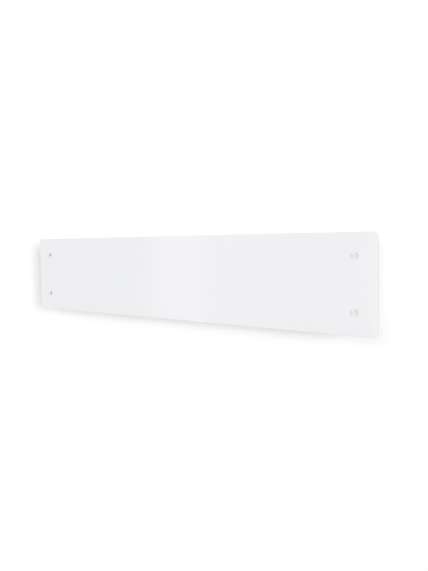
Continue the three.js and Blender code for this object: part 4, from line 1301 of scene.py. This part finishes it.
class RADIATOR_OT_switch(bpy.types.Operator):
    """The mains switch in the right end cap and its marked rocker"""

    bl_idname = "radiator.switch"
    bl_label = "Mains switch"

    def execute(self, context):
        marks = context.scene.radiator_controls
        soften(["switch_body", "power_rocker"], *ROUNDINGS["switch"], most=SMOOTH_ARCS)
        ink = [finish("rocker_mark", printed_mark, tuple(marks.rocker_colour))]
        height = marks.mark_height
        signs = {
            "on": raised_bar((0, 0, 0), ROCKER_BAR, ROCKER_LINE, height, math.pi / 2),
            "off": raised_ring((0, 0, 0), ROCKER_RING, ROCKER_LINE, height),
        }
        rocker = packed_copy("power_rocker")
        outer = [face for face in rocker.faces if face.normal.x > PAD_FACING]
        pads = sorted(outer, key=lambda face: face.calc_area())[-2:]
        pads.sort(key=lambda face: -face.calc_center_median().z)
        for pad, (name, sign) in zip(pads, signs.items()):
            centre, out = pad.calc_center_median(), pad.normal.copy()
            across = Vector((0, 1, 0))
            turn = Matrix((across, out.cross(across), out)).transposed().to_4x4()
            move(sign, Matrix.Translation(centre + out * height * MARK_SHIFT) @ turn)
            add_piece(sign, f"mark_{name}", "rocker_body", ink)
        rocker.free()
        return {"FINISHED"}


# Supply, element and inner parts

# The cord gland: the radii of its bore, thread, collar and flange, and the thread's form and the
# plain lengths at its two ends. The thread runs through the back sheet from the inside, and the
# flange seats on the outside.
GLAND_BORE = 3.8 * MM
GLAND_THREAD = 6 * MM
GLAND_COLLAR = 7.5 * MM
GLAND_FLANGE = 9.5 * MM
FLANGE_DEPTH = 3 * MM
THREAD_PITCH = 1.5 * MM
THREAD_ROOT = GLAND_THREAD - 0.6 * MM
THREAD_CREST = GLAND_THREAD - 0.05 * MM
THREAD_START = 0.6 * MM
THREAD_RUNOUT = 1.5 * MM


class RADIATOR_OT_gland(bpy.types.Operator):
    """The cord gland at the back and the nut that holds it"""

    bl_idname = "radiator.gland"
    bl_label = "Cord gland"

    def execute(self, context):
        low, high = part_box("cable_gland")
        at = middle("cable_gland")
        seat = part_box("rear_casing")[1].y + SEAT_GAP
        flange_end = seat + FLANGE_DEPTH
        profile = [(GLAND_BORE, low.y), (THREAD_ROOT, low.y)]
        turn = low.y + THREAD_START
        while turn + THREAD_PITCH < seat - THREAD_RUNOUT:
            profile += [(THREAD_ROOT, turn), (THREAD_CREST, turn + THREAD_PITCH / 2)]
            turn += THREAD_PITCH
        profile += [
            (THREAD_ROOT, turn),
            (THREAD_ROOT, seat),
            (GLAND_FLANGE - 0.3 * MM, seat),
            (GLAND_FLANGE, seat + 0.3 * MM),
            (GLAND_FLANGE, flange_end - 0.6 * MM),
            (GLAND_FLANGE - 0.6 * MM, flange_end),
            (GLAND_COLLAR + 0.3 * MM, flange_end),
            (GLAND_COLLAR, flange_end + 0.3 * MM),
            (GLAND_COLLAR - 0.2 * MM, high.y - 1.2 * MM),
            (GLAND_COLLAR - 1.2 * MM, high.y),
            (GLAND_BORE + 0.9 * MM, high.y),
            (GLAND_BORE, high.y - 0.9 * MM),
        ]
        bm = bmesh.new()
        turned(bm, profile + profile[:1], steps=60, centre=(at.x, 0, at.z))
        stand_for("cable_gland", bm)
        soften(["gland_nut"], *ROUNDINGS["gland nut"])
        return {"FINISHED"}


class RADIATOR_OT_element(bpy.types.Operator):
    """The finned heating element, its rod, ceramic bushes and supports"""

    bl_idname = "radiator.element"
    bl_label = "Heating element"

    def execute(self, context):
        bushes, supports = (
            [f"element_{kind}_{side}" for side in SIDES] for kind in ("bush", "support")
        )
        soften(["element_fins"], *ROUNDINGS["fins"], least=BENT)
        soften(["element_rod"], *ROUNDINGS["rod"], least=SQUARE)
        soften(bushes, *ROUNDINGS["ceramic"], least=SQUARE, most=SMOOTH_ARCS)
        soften(supports, *ROUNDINGS["inner sheet"], least=SQUARE, most=SMOOTH_ARCS)
        return {"FINISHED"}


# The terminals: how many ways, the screw heads, and how deep their middle lies in the block.
TERMINAL_WAYS = 3
TERMINAL_SCREW = {"size": (3.6 * MM, 1.4 * MM, 3.6 * MM), "edge": 0.2 * MM, "corner": 1.7 * MM}
TERMINAL_DEPTH = 4 * MM


class RADIATOR_OT_inner_parts(bpy.types.Operator):
    """The partition, thermal cut-out, boards, terminals and air sensor"""

    bl_idname = "radiator.inner_parts"
    bl_label = "Inner parts"

    def execute(self, context):
        for kind, nodes in (
            ("inner sheet", ("partition", "cutout_bracket")),
            ("moulding", ("thermal_cutout", "board_carrier", "power_relay", "air_sensor")),
            ("terminals", ("terminal_block",)),
        ):
            soften(nodes, *ROUNDINGS[kind], least=SQUARE, most=SMOOTH_ARCS)
        board = finish("power_board_mask", circuit_board, (0, 2))
        soften(["power_board"], *ROUNDINGS["board"], least=SQUARE, materials=[board])

        low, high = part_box("terminal_block")
        screws = bmesh.new()
        for way in range(TERMINAL_WAYS):
            x = low.x + (way + 0.5) * (high.x - low.x) / TERMINAL_WAYS
            screw = rounded_block(**TERMINAL_SCREW, axis=1, segments=2, corner_steps=6)
            move(screw, Matrix.Translation((x, low.y + TERMINAL_DEPTH, (low.z + high.z) / 2)))
            mesh = bpy.data.meshes.new("screw")
            screw.to_mesh(mesh)
            screw.free()
            screws.from_mesh(mesh)
            bpy.data.meshes.remove(mesh)
        metal = [finish("terminal_brass", brass)]
        add_piece(screws, "terminal_screws", "heater", metal)
        return {"FINISHED"}


WIRE_COUNT = 5


class RADIATOR_OT_wires(bpy.types.Operator):
    """The inner wires in their silicone sleeves"""

    bl_idname = "radiator.wires"
    bl_label = "Inner wires"

    def execute(self, context):
        nodes = [n for n in frame["nodes"] if n.endswith("_wire") or "_wire_" in n]
        if len(nodes) != WIRE_COUNT:
            raise RuntimeError(f"{WIRE_COUNT} wires were expected, not {nodes}")
        for node in nodes:
            piece = stand_for(node, packed_copy(node), most=SMOOTH_WIRES)
            smoother = piece.modifiers.new("Round sleeve", "SUBSURF")
            smoother.levels = smoother.render_levels = 1
        return {"FINISHED"}


# Wall bracket


class RADIATOR_OT_bracket(bpy.types.Operator):
    """The wall rail with its two arms and the quarter-turn locks"""

    bl_idname = "radiator.bracket"
    bl_label = "Wall bracket"

    def execute(self, context):
        sheet = ["bracket_rail", "bracket_arm_left", "bracket_arm_right"]
        width = context.scene.radiator_bracket.edge_rounding
        soften(sheet, width, least=BENT, most=SMOOTH_ARCS)
        locks = [f"lock_{side}" for side in SIDES]
        soften(locks, *ROUNDINGS["lock"], least=BENT, most=SMOOTH_ARCS)
        return {"FINISHED"}


# Stage

# Painted shade on the wall: its glow is lower in a box where the heater's shadow lies, which
# deepens that shadow beyond what the lamps cast. The box is the heater's own, longer to the left
# and lower at the top. Away from it the glow grows by a share over a distance, a painted
# brightening round the painted shade.
PAINTED_SHADE_LENGTH = 130 * MM
PAINTED_SHADE_DROP = 60 * MM
PAINTED_SHADE_FADE = 60 * MM
PAINTED_SHADE_DEPTH = 0.05

# The wall and the floor: their size, the wall's gap to the bracket and the height of its middle,
# how far the floor's middle lies ahead of it, and the colour and glow of each.
SHEET_SIZE = (9, 6)
WALL_GAP = 1 * MM
WALL_MIDDLE = 1.2
FLOOR_AHEAD = 3
WALL_LOOK = ((0.865, 0.865, 0.865), 0.1)
FLOOR_LOOK = ((0.8, 0.8, 0.8), 0.8)

HEATER_MIDDLE = (0, -50 * MM, 0)

# The camera's sensor in millimetres, and the nearest that it sees.
SENSOR_WIDTH = 36
CLIP_START = 0.05

# The weak soft lights: their place, the side of their square, and their power.
FILLS = {
    "left fill": ((-2.2, -2.4, 0.5), 1.6, 1.2),
    "right fill": ((1.2, -3.0, 0.6), 1.6, 6),
    "rear light": ((-0.6, 2.4, 1.2), 2.0, 32),
}

# Brightness of the room as gloss shows it, by the angle from the wall's normal towards the left.
ROOM_BANDS = (
    (-180, 0.75),
    (-120, 0.95),
    (-60, 0.97),
    (-18, 0.96),
    (17, 1.0),
    (31, 1.08),
    (39.2, 1.2),
    (41, 1.7),
    (43.4, 1.7),
    (46.5, 0.94),
    (56, 0.9),
    (60, 1.3),
    (74, 1.3),
    (82, 0.9),
    (120, 0.6),
    (150, 1.0),
    (180, 0.75),
)

# A dark opening in the room, which only gloss shows. In degrees: how far its middle is to the
# left, its half width, and the width over which it fades. Then its darkness, and the sines of the
# heights between which it fades.
DOORWAY = {"left": 2, "half": 7, "fade": 6, "depth": 0.85, "ends": (0.42, 0.6)}


def pale_surface(f, colour, glow, painted_shade_box=None):
    """A pale stage surface that glows a little for the camera and is clear from behind.

    The last argument gives the lowest and highest corner of a box: away from it the surface glows
    more, so that inside the box it holds a painted shade.
    """
    tint = f.tint(f.fit(f.noise(3, 2), *USUAL), colour, 0.995)
    lit = f.add("ShaderNodeBsdfDiffuse", {}, {"Color": tint})
    path = f.add("ShaderNodeLightPath").outputs
    shown = f.math("MAXIMUM", path["Is Camera Ray"], path["Is Glossy Ray"])
    shown = shown.math("MAXIMUM", path["Is Transmission Ray"])
    if painted_shade_box:
        x, _, z = (
            abs(part - (least + most) / 2) - (most - least) / 2
            for part, least, most in zip(f.axes(), *painted_shade_box)
        )
        # Painted shade: less glow near the box, more glow away from it.
        glow = f.fit(x.math("MAXIMUM", z), 0, PAINTED_SHADE_FADE) * PAINTED_SHADE_DEPTH + glow
    bright = f.add(
        "ShaderNodeEmission", {}, {"Color": (1.0, 1.0, 1.0), "Strength": shown * glow}
    )
    both = f.add("ShaderNodeAddShader", {}, {0: lit, 1: bright})
    clear = f.add("ShaderNodeBsdfTransparent")
    behind = f.add("ShaderNodeNewGeometry").outputs["Backfacing"]
    f.end(f.add("ShaderNodeMixShader", {}, {0: behind, 1: both, 2: clear}))


def stage_sheet(name, place, turn, material):
    bm = bmesh.new()
    lie = Matrix.Translation(place) @ turn @ Matrix.Diagonal((*SHEET_SIZE, 1, 1))
    bmesh.ops.create_grid(bm, x_segments=1, y_segments=1, size=0.5, matrix=lie)
    mesh = bpy.data.meshes.new(name)
    bm.to_mesh(mesh)
    bm.free()
    mesh.materials.append(material)
    sheet = bpy.data.objects.new(name, mesh)
    bpy.context.scene.collection.objects.link(sheet)
    return sheet


def heading(turn, drop):
    """The way towards the wall, turned to the left and lowered by two angles."""
    return Vector(
        (-math.sin(turn) * math.cos(drop), math.cos(turn) * math.cos(drop), -math.sin(drop))
    )


def lamp(name, kind, strength, way, place=(0, 0, 0), in_gloss=False):
    """A lamp that shines one way; gloss shows it only where it is told to."""
    light = bpy.data.lights.new(name, kind)
    light.energy = strength
    made = bpy.data.objects.new(name, light)
    made.location = place
    made.rotation_euler = way.to_track_quat("-Z", "Y").to_euler()
    made.visible_glossy = in_gloss
    bpy.context.scene.collection.objects.link(made)
    return light


def studio_room(ambient):
    """A white room for the camera and for gloss, with softer panels, and an even light."""
    world = bpy.data.worlds.new("room")
    room = Finish(world, "World", "Generated")
    path = room.add("ShaderNodeLightPath").outputs
    x, y, z = room.axes()
    turn = (0 - x).math("ARCTAN2", 0 - y) / math.tau + 0.5
    aside = abs(turn - (0.5 + DOORWAY["left"] / 360)) * 360
    doorway = 1 - room.fit(aside, DOORWAY["half"], DOORWAY["half"] + DOORWAY["fade"])
    doorway = doorway * (1 - room.fit(abs(z), *DOORWAY["ends"]))
    most = max(level for _, level in ROOM_BANDS)
    stops = [(angle / 360 + 0.5, (level / most,) * 3) for angle, level in ROOM_BANDS]
    bands = room.add("ShaderNodeValToRGB", {"stops": stops}, {0: turn})
    bands.color_ramp.interpolation = "EASE"
    shown = Sum(room, bands.outputs[0]) * (1 - doorway * DOORWAY["depth"]) * most
    seen = room.math("MAXIMUM", path["Is Camera Ray"], path["Is Transmission Ray"])
    strength = room.blend(seen, (ambient,) * 3, (1.0, 1.0, 1.0))
    colour = room.blend(path["Is Glossy Ray"], strength, shown)
    room.end(room.add("ShaderNodeBackground", {}, {"Color": colour, "Strength": 1.0}))
    return world


class RADIATOR_OT_stage(bpy.types.Operator):
    """The camera, the pale wall and floor, the room light and the soft lights"""

    bl_idname = "radiator.stage"
    bl_label = "Stage"

    def execute(self, context):
        scene = context.scene
        stage = scene.radiator_stage
        scene.view_settings.view_transform = "Standard"

        yaw, roll = stage.camera_yaw, stage.camera_roll
        ahead = heading(yaw, stage.camera_pitch)
        level = Vector((math.cos(yaw), math.sin(yaw), 0))
        above = level.cross(ahead)
        right = level * math.cos(roll) + above * math.sin(roll)
        up = above * math.cos(roll) - level * math.sin(roll)
        camera = bpy.data.objects.new("camera", bpy.data.cameras.new("camera"))
        camera.data.sensor_width = SENSOR_WIDTH
        camera.data.lens = stage.lens
        camera.data.clip_start = CLIP_START
        turn = Matrix((right, up, -ahead)).transposed().to_4x4()
        camera.matrix_world = Matrix.Translation(stage.camera_place) @ turn
        scene.collection.objects.link(camera)
        scene.camera = camera

        low, high = cad_box
        # The box of the wall's painted shade, round the heater's shadow.
        shade = (low - Vector((PAINTED_SHADE_LENGTH, 0, 0)), high - Vector((0, 0, PAINTED_SHADE_DROP)))
        wall_y = high.y + WALL_GAP
        wall = stage_sheet(
            "wall",
            (0, wall_y, WALL_MIDDLE),
            Matrix.Rotation(math.pi / 2, 4, "X"),
            finish("stage_wall", pale_surface, *WALL_LOOK, shade),
        )
        for rays in ("diffuse", "glossy", "transmission", "volume_scatter", "shadow"):
            setattr(wall, f"visible_{rays}", False)
        floor = stage_sheet(
            "floor",
            (0, wall_y - FLOOR_AHEAD, low.z - stage.floor_drop),
            Matrix.Identity(4),
            finish("stage_floor", pale_surface, *FLOOR_LOOK),
        )
        floor.visible_glossy = False

        scene.world = studio_room(stage.ambient)
        for side in ("front", "side"):
            bearing, rise, width = getattr(stage, f"{side}_aim")
            strength = getattr(stage, f"{side}_strength")
            lamp(f"{side} light", "SUN", strength, heading(bearing, rise)).angle = width
        for name, (place, size, power) in FILLS.items():
            way = Vector(HEATER_MIDDLE) - Vector(place)
            light = lamp(name, "AREA", power, way, place, name == "rear light")
            light.shape = "RECTANGLE"
            light.size = light.size_y = size
        return {"FINISHED"}


# Panel and registration

STEPS = (
    RADIATOR_OT_stage,
    RADIATOR_OT_front_glass,
    RADIATOR_OT_fixings,
    RADIATOR_OT_casing,
    RADIATOR_OT_end_caps,
    RADIATOR_OT_screws,
    RADIATOR_OT_grilles,
    RADIATOR_OT_controls,
    RADIATOR_OT_switch,
    RADIATOR_OT_gland,
    RADIATOR_OT_element,
    RADIATOR_OT_inner_parts,
    RADIATOR_OT_wires,
    RADIATOR_OT_bracket,
)

SETTINGS = {
    "radiator_glass": GlassSettings,
    "radiator_fixings": FixingSettings,
    "radiator_casing": CasingSettings,
    "radiator_controls": ControlSettings,
    "radiator_bracket": BracketSettings,
    "radiator_stage": StageSettings,
}


class RADIATOR_PT_build(bpy.types.Panel):
    """Sizes, colours and building steps of the radiator"""

    bl_label = "Electric radiator"
    bl_idname = "RADIATOR_PT_build"
    bl_space_type = "VIEW_3D"
    bl_region_type = "UI"
    bl_category = "Radiator"

    def draw(self, context):
        layout = self.layout
        for name, group in SETTINGS.items():
            box = layout.box()
            for key in group.__annotations__:
                box.prop(getattr(context.scene, name), key)
        for step in STEPS:
            layout.operator(step.bl_idname)


CLASSES = (*SETTINGS.values(), *STEPS, RADIATOR_PT_build)


def register():
    for item in CLASSES:
        bpy.utils.register_class(item)
    for name, group in SETTINGS.items():
        setattr(bpy.types.Scene, name, PointerProperty(type=group))


def unregister():
    for name in SETTINGS:
        delattr(bpy.types.Scene, name)
    for item in reversed(CLASSES):
        bpy.utils.unregister_class(item)


def main():
    register()
    for step in STEPS:
        family, name = step.bl_idname.split(".")
        getattr(getattr(bpy.ops, family), name)()


if __name__ == "__main__":
    main()
